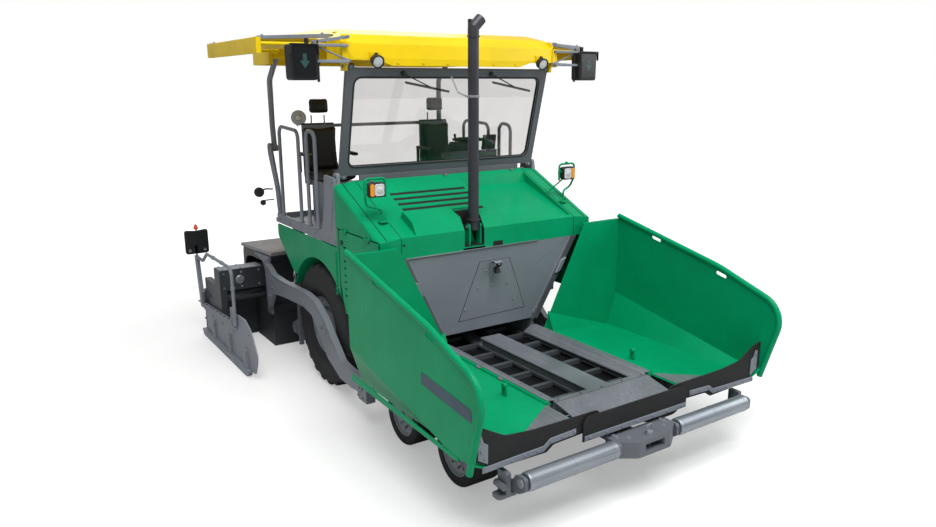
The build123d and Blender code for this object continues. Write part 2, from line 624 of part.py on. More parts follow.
with BuildPart() as fenders:
    for _, side in sides:
        side_outline(side * body_half, [(-592, 1000), (-592, 1843, 12), (-540, 1843, 12),
                                        (-540, 1642, 20), (1150, 1642, 30),
                     (1150, 1500, 60), (700, 1150), (-200, 1000)], -side * sheet)
        drum("X", side * body_half, 0, rear_tyre_r, rear_tyre_r + 69, 60, Mode.SUBTRACT)
        # liner over the wheel
        with BuildSketch(side_plane(side * (body_half - sheet))) as liner:
            with Locations((behind(0), rear_tyre_r)):
                Circle(rear_tyre_r + 69 + sheet)
                Circle(rear_tyre_r + 69, mode=Mode.SUBTRACT)
                Rectangle(2000, 1500, align=(Align.CENTER, Align.MAX), mode=Mode.SUBTRACT)
            with Locations((behind(0), rear_tyre_r + 330)):
                Rectangle(2000, 400, align=(Align.CENTER, Align.MAX), mode=Mode.SUBTRACT)
        extrude(liner.sketch, amount=-side * (body_half - sheet - 852))
        block((side * (body_half - sheet), side * 852), (-560 - seat, -548 - seat), (1440, 1843))
save(fenders, "fenders")

with BuildPart() as platform:
    block((-floor_half, floor_half), (-480, 1150), (floor_z - 40, floor_z))
    block((-1100, 1100), (-502, -490), (floor_z - 40, 2300))
    for _, side in sides:
        # walls of the bay that holds the engine and tanks
        block((side * 850, side * 838), (-1380, 900), (deck_z, floor_z - 40))
        block((side * 850, side * 560), (-1380, 500), (deck_z, deck_z + 12))
        block((side * 850, side * floor_half), (-548, -536), (1440, floor_z - 40))
    block((-850, 850), (888, 900), (deck_z, floor_z - 40))
    block((-floor_half, floor_half), (1138, 1150), (1640, 1760))
save(platform, "platform")

with BuildPart() as platform_sides:
    for _, side in sides:
        # side plate, drawn up at its front into the windscreen's post
        side_outline(side * 1262, [(-530, 1650), (-530, 2190), (-505, 2335, 20), (-262, 2350, 25),
                                   (-235, 2060, 80),
                     (-150, 1760, 60), (1180, 1760), (1180, 1650)], -side * 22)
        # hinge ear of the windscreen's foot
        side_outline(side * 1240, [(-530, 2180), (-530, 2385, 30), (-440, 2385, 30), (-440, 2180)],
                     -side * 35)
        drum("X", side * 1210, screen_foot[0], screen_foot[1], 16 + spin_fit, 90, Mode.SUBTRACT)
        # lower half of the roof's rear post
        side_outline(side * 1205, [(1150, 1650), (1150, 1780, 60), (1180, 2050, 200), (1365, 2530, 60),
                                   (1420, 2575, 50),
                     (1478, 2530, 40), (1470, 2440, 80), (1290, 2040, 200), (1230, 1650)], side * 25)
        drum("X", side * 1217, post_foot[0], post_foot[1], 20 + spin_fit, 60, Mode.SUBTRACT)
        block((side * 1205, side * 1262), (1150 + seat, 1230), (1650, floor_z))
        # ears and pin of the lift cylinder
        for x in (1162 - 8 - 12, 1238 + 8):
            side_outline(side * x, [(barrel_pin[0] - 60, floor_z - 40 - seat),
                                    (barrel_pin[0] - 34, barrel_pin[1] - 30, 30),
                         (barrel_pin[0] + 34, barrel_pin[1] - 30, 30), (barrel_pin[0] + 60,
                                                                        floor_z - 40 - seat)], side * 12)
        block((side * 1142, side * 1262), (barrel_pin[0] - 60, barrel_pin[0] + 60),
              (floor_z - 40 - seat - 8, floor_z - 40 - seat))
        drum("X", side * 1200, barrel_pin[0], barrel_pin[1], 18, 100)
save(platform_sides, "platform_sides")

# ==== Operator's place =======================================================
seat_x, seat_d, seat_z = 780, 620, 2170
with BuildPart() as seat_cushions:
    for _, side in sides:
        x = (side * (seat_x - 240), side * (seat_x + 240))
        block(x, (seat_d - 260, seat_d + 220), (seat_z, seat_z + 110))
        side_outline(x[0], [(seat_d + 225, seat_z + 60), (seat_d + 265, seat_z + 620),
                            (seat_d + 346, seat_z + 610),
                     (seat_d + 320, seat_z + 60)], side * 480)
        side_outline(side * (seat_x - 140), [(seat_d + 265, seat_z + 720), (seat_d + 280, seat_z + 930),
                     (seat_d + 362, seat_z + 930), (seat_d + 362, seat_z + 720)], side * 280)
save(seat_cushions, "seat_cushions")

console_x, console_d, wheel_z = 800, 180, 2590
with BuildPart() as operator_station:
    for _, side in sides:
        block((side * (seat_x - 180), side * (seat_x + 180)), (seat_d - 200, seat_d + 180),
              (floor_z, seat_z))
        side_outline(side * (seat_x - 200), [(seat_d + 180, seat_z - 60), (seat_d + 180, seat_z),
                     (seat_d + 320, seat_z), (seat_d + 320, seat_z + 60), (seat_d + 346, seat_z + 610),
                     (seat_d + 366, seat_z + 610), (seat_d + 350, seat_z - 60)], side * 400)
        for x in (seat_x - 80, seat_x + 80):
            drum("Z", side * x, seat_d + 356, seat_z + 665, 8, 110)

    # steering console
    block((console_x - 90, console_x + 90), (console_d - 60, console_d + 60), (floor_z, 2380))
    side_outline(console_x - 330, [(console_d - 110, 2380), (console_d - 110, 2470),
                                   (console_d + 110, 2440),
                 (console_d + 110, 2380)], 660)
    drum("Z", console_x, console_d + 30, 2490, 24, 160)
    drum("Z", console_x, console_d + 30, 2540, 12, 120)
save(operator_station, "operator_station")

with BuildPart() as steering_wheel:
    with Locations((console_x, behind(console_d + 30), wheel_z)):
        Torus(170, 14)
        Cylinder(45, 30)
        with PolarLocations(95, 3):
            Box(160, 24, 12)
        Cylinder(12 + spin_fit, 40, mode=Mode.SUBTRACT)
save(steering_wheel, "steering_wheel")

with BuildPart() as handrails:
    for _, side in sides:
        for front, rear, low in ((-40, 190, 1760), (420, 980, 1760)):
            tube([(side * 1251, front, low), (side * 1251, front, 2750), (side * 1251, rear, 2780),
                  (side * 1251, rear, low)], 20, 90)
    tube([(-740, 1110, floor_z), (-740, 1110, 2760), (740, 1110, 2760), (740, 1110, floor_z)], 20, 120)
    tube([(-730, 1110, 2250), (730, 1110, 2250)], 16, 0)
save(handrails, "handrails")

screen_step = (screen_head[0] - screen_foot[0], screen_head[1] - screen_foot[1])
screen_height = hypot(*screen_step)
post_head = (post_foot[0] + screen_step[0], post_foot[1] + screen_step[1])
screen_plane = Plane((0, behind(screen_foot[0]), screen_foot[1]), x_dir=(1, 0, 0),
                     z_dir=(0, -screen_step[1], screen_step[0]))

with BuildPart() as windscreen_frame:
    with BuildSketch(screen_plane.offset(-22)) as face:
        with Locations((0, screen_height / 2)):
            Rectangle(2400, screen_height - 30)
            RectangleRounded(2210, screen_height - 220, 70, mode=Mode.SUBTRACT)
    extrude(face.sketch, amount=44)
    for _, side in sides:
        for d, z in (screen_foot, screen_head):
            drum("X", side * 1180, d, z, 16, 110)
            drum("X", side * 1160, d, z, 30, 70)
save(windscreen_frame, "windscreen_frame")

with BuildPart() as windscreen_glass:
    with BuildSketch(screen_plane.offset(-4)) as face:
        with Locations((0, screen_height / 2)):
            RectangleRounded(2210, screen_height - 220, 70)
    extrude(face.sketch, amount=8)
save(windscreen_glass, "windscreen_glass")

with BuildPart() as rear_posts:
    for _, side in sides:
        x = side * 1160
        tube([(x, post_foot[0], post_foot[1]), (x, post_foot[0] + 30, post_foot[1] + 260),
              (x, post_foot[0] + 30, post_head[1] - 270), (x, *post_head)], 32, 100)
        for d, z in (post_foot, post_head):
            drum("X", x, d, z, 40, 66)
            drum("X", side * 1190, d, z, 20, 90)
save(rear_posts, "rear_posts")

with BuildPart() as roof:
    crown = [(roof_front, 3470), (roof_front + 20, 3600), (-700, 3690), (-480, 3745), (450, roof_high),
             (1400, 3740),
             (1680, 3650), (roof_rear, 3560), (roof_rear, 3500)]
    side_outline(-roof_half, [(roof_front, roof_low), *crown, (roof_rear, roof_low)], 2 * roof_half)
    cross_outline(roof_front, [(-roof_half, roof_low), (-900, roof_low - 5), (-760, 3405, 60),
                               (760, 3405, 60),
                  (900, roof_low - 5), (roof_half, roof_low)], 30)
    # corners rounded in plan, and edges that lean in towards the crown
    flat_outline(3300, [(-roof_half, roof_front, 130), (roof_half, roof_front, 130),
                        (roof_half, roof_rear, 160),
                 (-roof_half, roof_rear, 160)], 600, Mode.INTERSECT)
    cross_outline(roof_front - 10, [(-roof_half, 3300), (-roof_half, 3640, 30), (-1050, roof_high + 2, 120),
                  (1050, roof_high + 2, 120), (roof_half, 3640, 30), (roof_half,
                                                                      3300)], roof_rear - roof_front + 20,
                  Mode.INTERSECT)
    hollow = [(roof_front + roof_wall, 3400), (roof_front + roof_wall + 20, 3590), (-680, 3650),
              (-470, 3700),
              (450, roof_high - roof_wall), (1390, 3695), (1650, 3610), (roof_rear - roof_wall, 3400)]
    side_outline(roof_wall - roof_half, hollow, 2 * (roof_half - roof_wall), Mode.SUBTRACT)
    for _, side in sides:
        block((side * (roof_half - 2 * roof_wall), side * (roof_half + 10)),
              (awning_rods[0] - 40, awning_rods[1] + 40), (3300, 3660),
              Mode.SUBTRACT)
    for _, side in sides:
        for (d, z), x, top in ((screen_head, 1205, 3655), (post_head, 1205, 3607)):
            side_outline(side * x, [(d - 50, z - 45), (d - 50, top), (d + 50, top), (d + 50, z - 45)],
                         side * 25)
            drum("X", side * 1217, d, z, (16 if d < 0 else 20) + spin_fit, 60, Mode.SUBTRACT)
        block((side * 1205, side * 1230), (screen_head[0] - 50, screen_head[0] + 50), (3640, 3670))
        # guides of the awning's rods and pads of the lamp brackets
        for d in awning_rods:
            block((side * 1100, side * 1180), (d - 34, d + 34), (awning_rod_z - 34, 3720))
            drum("X", side * 1140, d, awning_rod_z, 18 + spin_fit, 100, Mode.SUBTRACT)
        block((side * (roof_half - 70), side * (roof_half - 10)), (roof_front, roof_front + 40),
              (3410, 3600))
    # cross beams that carry the brackets
    block((-1230, 1230), (post_head[0] - 74, post_head[0] - 50), (3515, 3725))
    for _, side in sides:
        block((side * 1205, side * 1230), (post_head[0] - 74, post_head[0] + 50), (3585, 3607))
save(roof, "roof")

for name, side in sides:
    with BuildPart() as awning:
        block((side * 1120, side * awning_out), awning_d, (3615, 3650))
        block((side * (awning_out - 45), side * awning_out), (awning_rods[0] - 30, awning_rods[1] + 30),
              (3510, 3650))
        for d in awning_rods:
            drum("X", side * 1515, d, awning_rod_z, 18, 790)
    save(awning, f"awning_{name}")

with BuildPart() as lamp_brackets:
    for _, side in sides:
        for z in (3420, 3560):
            block((side * (roof_half - 60), side * 1600), (roof_front - 30, roof_front - seat), (z, z + 30))
        block((side * 1560, side * 1790), (-930, -830), (3280, 3590))
save(lamp_brackets, "lamp_brackets")

with BuildPart() as headlights:
    for _, side in sides:
        tube([(side * 1130, -1240, 1930), (side * 1130, -1240, 2180), (side * 1156, -1150, 2215)], 14, 40)
        block((side * 1070, side * 1242), (-1240, -1130), (2210, 2380))
    add(hood_form(0), mode=Mode.SUBTRACT)
save(headlights, "headlights")

# ==== Augers =================================================================
for name, side in sides:
    with BuildPart() as auger:
        drum("X", side * (65 + auger_end) / 2, auger_d, auger_z, 45, auger_end - 65)
        drum("X", side * (60.3 + guide_x[0] + 20) / 2, auger_d, auger_z, 30, guide_x[0] + 20 - 60.3)
        # one flight, wound the other way on the other side
        with BuildLine() as flight:
            helix = Helix(flight_pitch, auger_end - 165, (auger_r + 40) / 2,
                          center=(side * 115, behind(auger_d), auger_z),
                          direction=(side, 0, 0), lefthand=side < 0)
        outward = (helix @ 0) - Vector(side * 115, behind(auger_d), auger_z)
        with BuildSketch(Plane(helix @ 0, x_dir=outward, z_dir=helix % 0)) as blade:
            Rectangle(auger_r - 40, 14)
        sweep(blade.sketch, path=helix, is_frenet=True)
    save(auger, f"auger_{name}")

# ==== Screed =================================================================
with BuildPart() as screed_arms:
    for _, side in sides:
        side_outline(side * arm_in, [(tow[0] - 90, 330), (tow[0] - 90, 470), (-860, 475), (-700, 500),
                                     (-560, 620),
                     (-300, 850), (-60, 985), (200, 1015), (900, 990), (1230, 1000), (1440, 1100), (1500,
                                                                                                    1100),
                     (1500, 560), (1400, 560), (1260, 760), (900, 800), (300, 840), (60, 800), (-120, 640),
                     (-330, 430), (-640, 300), (-900, 290)], side * (arm_out - arm_in), corner=25)
        drum("X", side * (arm_in + arm_out) / 2, tow[0], tow[1], 30 + spin_fit, 60, Mode.SUBTRACT)
        drum("X", side * (arm_in - 60), eye[0], eye[1], 16, 125)
        # bearer between the arm and the screed's end, its rear edge cut in an arch
        side_outline(side * screed_half, [(screed_front - 30, 430), (screed_front - 30, 1172, 20),
                                          (2000, 1142),
                     (2000, 1108), (1650, 1100, 190), (1618, 430, 30)], side * (arm_in - screed_half))
save(screed_arms, "screed_arms")

with BuildPart() as screed_base:
    block((-screed_half, screed_half), (screed_front, pan_rear), (0, 560))
    block((-screed_half, screed_half), (screed_front, screed_front + 40), (560, 1180))
    side_outline(-screed_half, [(screed_front, 1060), (1440, 1194), (2560, 1122), (screed_rear, 1040)],
                 2 * screed_half)
    for _, side in sides:
        side_outline(side * (screed_half - plate),
                     [(2130, 1090), (screed_rear, 1040, 30), (screed_rear, 640, 20),
                     (2545, 640, 20), (2500, 1000, 150), (2130, 1060)], side * plate)
    side_outline(-screed_half, [(screed_rear, 1040), (screed_rear, 640), (screed_rear - 20, 640),
                 (screed_rear - 20, 1050)], 2 * screed_half)
    for _, side in sides:
        block((side * 1000, side * (screed_half - gap)), (tube_d - 60, tube_d + 60), (560, tube_z[1] + 42))
        for z in tube_z:
            drum("X", side * 1140, tube_d, z, tube_r + spin_fit, 400, Mode.SUBTRACT)
save(screed_base, "screed_base")

with BuildPart() as screed_walkway:
    side_outline(-screed_half - 20, [(1440, 1194), (1400, 1194), (1400, 1236), (2600, 1160), (2600, 1122),
                 (2560, 1122)], 2 * screed_half + 40)
save(screed_walkway, "screed_walkway")

for name, side in sides:
    with BuildPart() as extension:
        inner, outer = gate_x - extension_half, gate_x - 22
        side_outline(side * inner, [(extension_front, 0), (extension_front, 560), (2300, 620),
                                    (2520, 620), (2560, 0)],
                     side * (outer - inner))
        block((side * inner, side * outer), beam_d, beam_z)
        wall_in = screed_half + in_travel + gap
        block((side * wall_in, side * outer), (beam_d[0], extension_front), (180, beam_z[0]))
        block((side * wall_in, side * outer), (beam_d[1], 2420), (600, beam_z[0] + 40))
        for z in tube_z:
            drum("X", side * (in_travel + 10 + outer) / 2, tube_d, z, tube_r, outer - in_travel - 10)
    save(extension, f"screed_extension_{name}")

    with BuildPart() as end_gate:
        # plate with its curved deflector in front
        side_outline(side * (gate_x - 22 + seat),
                     [(500, 75, 60), (383, 310, 120), (560, 560, 180), (765, 648, 25),
                     (1045, 640, 15), (1060, 530), (2650, 425), (2640, 350, 20), (2440, 320, 40), (2440,
                                                                                                   75)],
                     side * (22 - seat - 8))
        # angle along the plate's top
        side_outline(side * (gate_x - 8), [(1060, 540), (rear_overhang, 436), (rear_overhang, 350),
                                           (1060, 450)], side * 14)
        side_outline(side * (gate_x - 8), [(1060, 540), (rear_overhang, 436), (rear_overhang, 424),
                                           (1060, 528)], side * 44)
        # skid on the ground, hung from brackets
        side_outline(side * (gate_x - 22 + seat), [(620, 76), (690, 0, 60), (2480, 0, 60), (2540, 76)],
                     side * 58)
        for d in gate_brackets:
            side_outline(side * (gate_x - 8), [(d - 55, 76), (d - 35, 300, 20), (d + 35, 300, 20),
                                               (d + 55, 76)], side * 30)
        tube([(side * (gate_x + 14), 1060, 500), (side * (gate_x + 14), 1060, 1190),
              (side * (gate_x + 14), 2090, 1170),
              (side * (gate_x + 14), 2300, 1040), (side * (gate_x + 14), 2590, 1040)], 20, 110)
        for d in (1110, 1180):
            side_outline(side * (gate_x - 8), [(d - 18, 470), (d - 18, 700, 15), (d + 18, 700, 15),
                                               (d + 18, 470)], side * 36)
        # square post with the marker board
        side_outline(side * (gate_x - 8), [(2440, 430), (2530, 430), (2640, 1055, 10), (2560, 1055, 10)],
                     side * 44)
        cross_outline(2590, [(side * (gate_x - 150), 1080, 40), (side * (gate_x - 150), 1400, 30),
                      (side * (gate_x + 14), 1385, 60), (side * (gate_x + 150), 1400, 30),
                      (side * (gate_x + 150), 1080, 40)], 14)
        cross_outline(2580, [(side * (gate_x + 2), 1040), (side * (gate_x + 2), 1200, 10),
                             (side * (gate_x + 28), 1200, 10),
                      (side * (gate_x + 28), 1040)], 10)
    save(end_gate, f"end_gate_{name}")

# ==== Lift cylinders =========================================================
pull = (eye[0] - barrel_pin[0], eye[1] - barrel_pin[1])
reach = hypot(*pull)
along = Plane((0, behind(barrel_pin[0]), barrel_pin[1]), x_dir=(1, 0, 0), z_dir=(0, pull[0], pull[1]))
with BuildPart() as lift_barrels:
    for _, side in sides:
        with BuildSketch(along.offset(26)) as ring:
            with Locations((side * 1200, 0)):
                Circle(38)
        extrude(ring.sketch, amount=barrel_length - 26)
        drum("X", side * 1200, barrel_pin[0], barrel_pin[1], 34, 66)
        drum("X", side * 1200, barrel_pin[0], barrel_pin[1], 18 + spin_fit, 100, Mode.SUBTRACT)
        with BuildSketch(along.offset(40)) as bore:
            with Locations((side * 1200, 0)):
                Circle(22 + spin_fit)
        extrude(bore.sketch, amount=barrel_length, mode=Mode.SUBTRACT)
save(lift_barrels, "lift_barrels")

with BuildPart() as lift_rods:
    for _, side in sides:
        with BuildSketch(along.offset(reach - rod_length)) as ring:
            with Locations((side * 1200, 0)):
                Circle(22)
        extrude(ring.sketch, amount=rod_length)
        drum("X", side * 1200, eye[0], eye[1], 32, 50)
        drum("X", side * 1200, eye[0], eye[1], 16 + 6, 100, Mode.SUBTRACT)
save(lift_rods, "lift_rods")
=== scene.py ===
"""Finishes and fine pieces of an asphalt paver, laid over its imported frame."""

import bmesh
import bpy
import numpy as np
from bpy.props import FloatProperty, FloatVectorProperty, IntProperty, PointerProperty, StringProperty
from bpy.types import Operator, Panel, PropertyGroup
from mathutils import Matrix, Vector


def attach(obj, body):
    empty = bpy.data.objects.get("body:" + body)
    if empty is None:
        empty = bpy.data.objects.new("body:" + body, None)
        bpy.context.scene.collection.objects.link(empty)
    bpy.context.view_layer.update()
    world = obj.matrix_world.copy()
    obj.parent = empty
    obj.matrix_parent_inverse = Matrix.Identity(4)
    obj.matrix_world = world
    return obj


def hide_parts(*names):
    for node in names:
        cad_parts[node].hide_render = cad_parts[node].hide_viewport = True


bl_info = {
    "name": "Asphalt paver",
    "version": (1, 0, 0),
    "blender": (4, 5, 0),
    "location": "View3D > Sidebar > Paver",
    "description": "Paint, rubber, glass and small fittings of a wheeled asphalt paver",
    "category": "Object",
}

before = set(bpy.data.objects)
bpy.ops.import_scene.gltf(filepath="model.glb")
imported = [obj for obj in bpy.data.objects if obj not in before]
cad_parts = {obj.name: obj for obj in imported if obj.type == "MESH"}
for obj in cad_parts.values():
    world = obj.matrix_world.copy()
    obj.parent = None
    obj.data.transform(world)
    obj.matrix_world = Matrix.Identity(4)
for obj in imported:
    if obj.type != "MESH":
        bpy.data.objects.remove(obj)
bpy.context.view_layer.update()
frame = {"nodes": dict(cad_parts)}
nodes = frame["nodes"]
SIDES = (("left", 1), ("right", -1))


# ---- Colours and shader nodes ------------------------------------------------
def linear(code, alpha=1.0):
    """A hex colour as linear light: the sRGB curve undone for each of its three parts."""
    parts = np.array([int(code[i:i + 2], 16) / 255 for i in (1, 3, 5)])
    light = np.where(parts <= 0.04045, parts / 12.92, ((parts + 0.055) / 1.055) ** 2.4)
    return (*light.tolist(), alpha)


def add(tree, kind, inputs=None, **settings):
    """Add one shader node; an input is a value, or the socket that feeds it."""
    node = tree.nodes.new(kind)
    for name, value in settings.items():
        setattr(node, name, value)
    for name, value in (inputs or {}).items():
        if isinstance(value, bpy.types.NodeSocket):
            tree.links.new(value, node.inputs[name])
        else:
            node.inputs[name].default_value = value
    return node


def shader(name, **sockets):
    """A new material: its tree, its main shader and the object's coordinates."""
    material = bpy.data.materials.new(name)
    material.use_nodes = True
    tree = material.node_tree
    surface = tree.nodes["Principled BSDF"]
    for socket, value in sockets.items():
        surface.inputs[socket.replace("_", " ")].default_value = value
    place = add(tree, "ShaderNodeTexCoord").outputs["Object"]
    return material, tree, surface, place


def spread(tree, source, low, high, dark, light):
    """Two colours mixed where a pattern's value lies between low and high."""
    ramp = add(tree, "ShaderNodeValToRGB", {"Fac": source})
    for stop, (at, colour) in zip(ramp.color_ramp.elements, ((low, dark), (high, light))):
        stop.position = at
        stop.color = colour
    return ramp.outputs["Color"]


def range_of(tree, source, low, high):
    """A pattern's value 0 to 1 carried to a range."""
    return add(tree, "ShaderNodeMapRange", {"Value": source, "To Min": low, "To Max": high}).outputs["Result"]


def colour(tree, surface, source, low, high, dark, light):
    """The surface's colour: two hex codes or colours mixed by a pattern."""
    dark, light = (linear(c) if isinstance(c, str) else c for c in (dark, light))
    tree.links.new(spread(tree, source, low, high, dark, light), surface.inputs["Base Color"])


def gloss(tree, surface, source, low, high):
    """The surface's roughness, from low to high by a pattern."""
    tree.links.new(range_of(tree, source, low, high), surface.inputs["Roughness"])


def relief(tree, surface, height, depth, strength=1.0):
    """Bump from a height pattern, its depth in metres."""
    bump = add(tree, "ShaderNodeBump", {"Height": height, "Distance": depth, "Strength": strength})
    tree.links.new(bump.outputs["Normal"], surface.inputs["Normal"])


def stove_enamel(name, code, deep, roughness=0.3):
    """Stove enamel sprayed on sheet steel: glossy, with faint orange peel and thin road dust."""
    material, tree, surface, place = shader(name, Roughness=roughness, Specular_IOR_Level=0.10,
        Coat_Weight=0.03, Coat_Roughness=0.1)
    # clouds of dust about 0.4 m across, with grain of 15 mm in them
    clouds = add(tree, "ShaderNodeTexNoise", {"Vector": place, "Scale": 2.5, "Detail": 6.0, "Roughness": 0.6})
    colour(tree, surface, clouds.outputs["Fac"], 0.35, 0.7, deep, code)
    gloss(tree, surface, clouds.outputs["Fac"], roughness + 0.08, roughness - 0.08)
    # orange peel 2.5 mm across
    peel = add(tree, "ShaderNodeTexNoise", {"Vector": place, "Scale": 400.0, "Detail": 1.0})
    relief(tree, surface, peel.outputs["Fac"], 0.0001, 0.4)
    return material


def powder_coat(name, code, deep, roughness=0.45):
    """Grey powder coat on structural steel: satin, pebbled at 1.2 mm, rubbed paler in patches."""
    material, tree, surface, place = shader(name, Roughness=roughness)
    rub = add(tree, "ShaderNodeTexNoise", {"Vector": place, "Scale": 1.6, "Detail": 7.0, "Roughness": 0.45})
    colour(tree, surface, rub.outputs["Fac"], 0.25, 0.7, deep, code)
    gloss(tree, surface, rub.outputs["Fac"], roughness - 0.1, roughness + 0.12)
    pebble = add(tree, "ShaderNodeTexNoise", {"Vector": place, "Scale": 800.0, "Detail": 2.0})
    relief(tree, surface, pebble.outputs["Fac"], 0.0002, 0.5)
    return material


def scuffed_steel(name, code, deep, run, metallic=0.5, relief_depth=0.0001):
    """Bare mild steel polished by sliding mix: streaks along one axis, bright where it is rubbed."""
    material, tree, surface, place = shader(name, Metallic=metallic, Roughness=0.4)
    stretch = tuple(1.5 if axis == run else 90.0 for axis in "XYZ")
    along = add(tree, "ShaderNodeMapping", {"Vector": place, "Scale": stretch}).outputs["Vector"]
    streak = add(tree, "ShaderNodeTexNoise", {"Vector": along, "Scale": 1.0, "Detail": 3.0})
    patch = add(tree, "ShaderNodeTexNoise", {"Vector": place, "Scale": 2.2, "Detail": 4.0})
    both = add(tree, "ShaderNodeMath", {0: streak.outputs["Fac"], 1: patch.outputs["Fac"]},
        operation="MULTIPLY")
    colour(tree, surface, both.outputs["Value"], 0.08, 0.42, deep, code)
    gloss(tree, surface, streak.outputs["Fac"], 0.32, 0.46)
    relief(tree, surface, streak.outputs["Fac"], relief_depth, 0.4)
    return material


def flaked_steel(name, code="#c9ccd1", deep="#6f757d"):
    """Hard-facing worn bright on a steel plate: pale flakes about 9 mm across on grey."""
    material, tree, surface, place = shader(name, Metallic=0.5, Roughness=0.4)
    flake = add(tree, "ShaderNodeTexVoronoi", {"Vector": place, "Scale": 110.0, "Randomness": 1.0})
    colour(tree, surface, flake.outputs["Distance"], 0.3, 0.45, code, deep)
    gloss(tree, surface, flake.outputs["Distance"], 0.3, 0.5)
    relief(tree, surface, flake.outputs["Distance"], 0.001, 0.5)
    return material


def vulcanised_rubber(name, code="#17181a", grey="#2b2c2e"):
    """Black vulcanised rubber: dull, with dust in its fine grain of 3 mm."""
    material, tree, surface, place = shader(name, Roughness=0.75)
    dust = add(tree, "ShaderNodeTexNoise", {"Vector": place, "Scale": 14.0, "Detail": 8.0, "Roughness": 0.7})
    colour(tree, surface, dust.outputs["Fac"], 0.4, 0.75, code, grey)
    gloss(tree, surface, dust.outputs["Fac"], 0.62, 0.9)
    grain = add(tree, "ShaderNodeTexNoise", {"Vector": place, "Scale": 330.0, "Detail": 2.0})
    relief(tree, surface, grain.outputs["Fac"], 0.0005, 0.5)
    return material


def moulded_plastic(name, code, roughness=0.5):
    """Injection-moulded plastic: spark-eroded grain of 1.5 mm, a little uneven in colour."""
    material, tree, surface, place = shader(name, Roughness=roughness)
    grain = add(tree, "ShaderNodeTexVoronoi", {"Vector": place, "Scale": 650.0})
    cloud = add(tree, "ShaderNodeTexNoise", {"Vector": place, "Scale": 9.0, "Detail": 4.0})
    base = np.array(linear(code))
    colour(tree, surface, cloud.outputs["Fac"], 0.3, 0.7, tuple(base * (0.8, 0.8, 0.8, 1)), tuple(base))
    relief(tree, surface, grain.outputs["Distance"], 0.0003, 0.4)
    return material


def gelcoat(name, code, deep):
    """Glass-fibre laminate with a coloured gelcoat: smooth and deep, faded in wide clouds."""
    material, tree, surface, place = shader(name, Roughness=0.32, Specular_IOR_Level=0.3, Coat_Weight=0.08,
        Coat_Roughness=0.2)
    fade = add(tree, "ShaderNodeTexNoise", {"Vector": place, "Scale": 1.6, "Detail": 5.0})
    colour(tree, surface, fade.outputs["Fac"], 0.3, 0.7, deep, code)
    # the laminate's print-through, waves about 12 mm long
    wave = add(tree, "ShaderNodeTexNoise", {"Vector": place, "Scale": 80.0, "Detail": 1.0})
    relief(tree, surface, wave.outputs["Fac"], 0.0002, 0.3)
    return material


def hard_chrome(name):
    """Hard chrome on a ground rod: a mirror, its gloss uneven in smears."""
    material, tree, surface, place = shader(name, Metallic=1.0, Roughness=0.14)
    surface.inputs["Base Color"].default_value = linear("#d5d7da")
    smear = add(tree, "ShaderNodeTexNoise", {"Vector": place, "Scale": 30.0, "Detail": 6.0})
    gloss(tree, surface, smear.outputs["Fac"], 0.08, 0.24)
    return material


def laminated_glass(name):
    """Laminated safety glass, lightly grey, with a film of dust."""
    material, tree, surface, place = shader(name, Roughness=0.02, IOR=1.5, Transmission_Weight=1.0)
    film = add(tree, "ShaderNodeTexNoise", {"Vector": place, "Scale": 3.0, "Detail": 5.0})
    colour(tree, surface, film.outputs["Fac"], 0.3, 0.7, "#cbc9c8", "#d2d0cf")
    return material


def ribbed_aluminium(name):
    """Extruded aluminium tread, anodised pale: ribs every 12 mm across the walk."""
    material, tree, surface, place = shader(name, Metallic=0.6, Roughness=0.42)
    ribs = add(tree, "ShaderNodeTexWave", {"Vector": place, "Scale": 26.0, "Distortion": 0.0},
        bands_direction="Y", wave_profile="SIN")
    colour(tree, surface, ribs.outputs["Fac"], 0.2, 0.7, "#77767a", "#bdbab9")
    relief(tree, surface, ribs.outputs["Fac"], 0.004)
    return material


def grained_vinyl(name, code="#121214"):
    """Black vinyl over foam: leather grain of 4 mm with shallow creases."""
    material, tree, surface, place = shader(name, Roughness=0.55)
    surface.inputs["Base Color"].default_value = linear(code)
    grain = add(tree, "ShaderNodeTexVoronoi", {"Vector": place, "Scale": 260.0}, feature="SMOOTH_F1")
    crease = add(tree, "ShaderNodeTexNoise", {"Vector": place, "Scale": 22.0, "Detail": 5.0})
    gloss(tree, surface, crease.outputs["Fac"], 0.42, 0.66)
    relief(tree, surface, grain.outputs["Distance"], 0.0008, 0.6)
    return material


def lamp_lens(name, code, glow=0.0):
    """Moulded acrylic lens with optic ribs 8 mm apart."""
    material, tree, surface, place = shader(name, Roughness=0.12, IOR=1.49, Coat_Weight=0.4)
    ribs = add(tree, "ShaderNodeTexWave", {"Vector": place, "Scale": 40.0}, bands_direction="X")
    base = np.array(linear(code))
    colour(tree, surface, ribs.outputs["Fac"], 0.1, 0.9, tuple(base * (0.65, 0.65, 0.65, 1)), tuple(base))
    surface.inputs["Emission Color"].default_value = linear(code)
    surface.inputs["Emission Strength"].default_value = glow
    relief(tree, surface, ribs.outputs["Fac"], 0.0015)
    return material


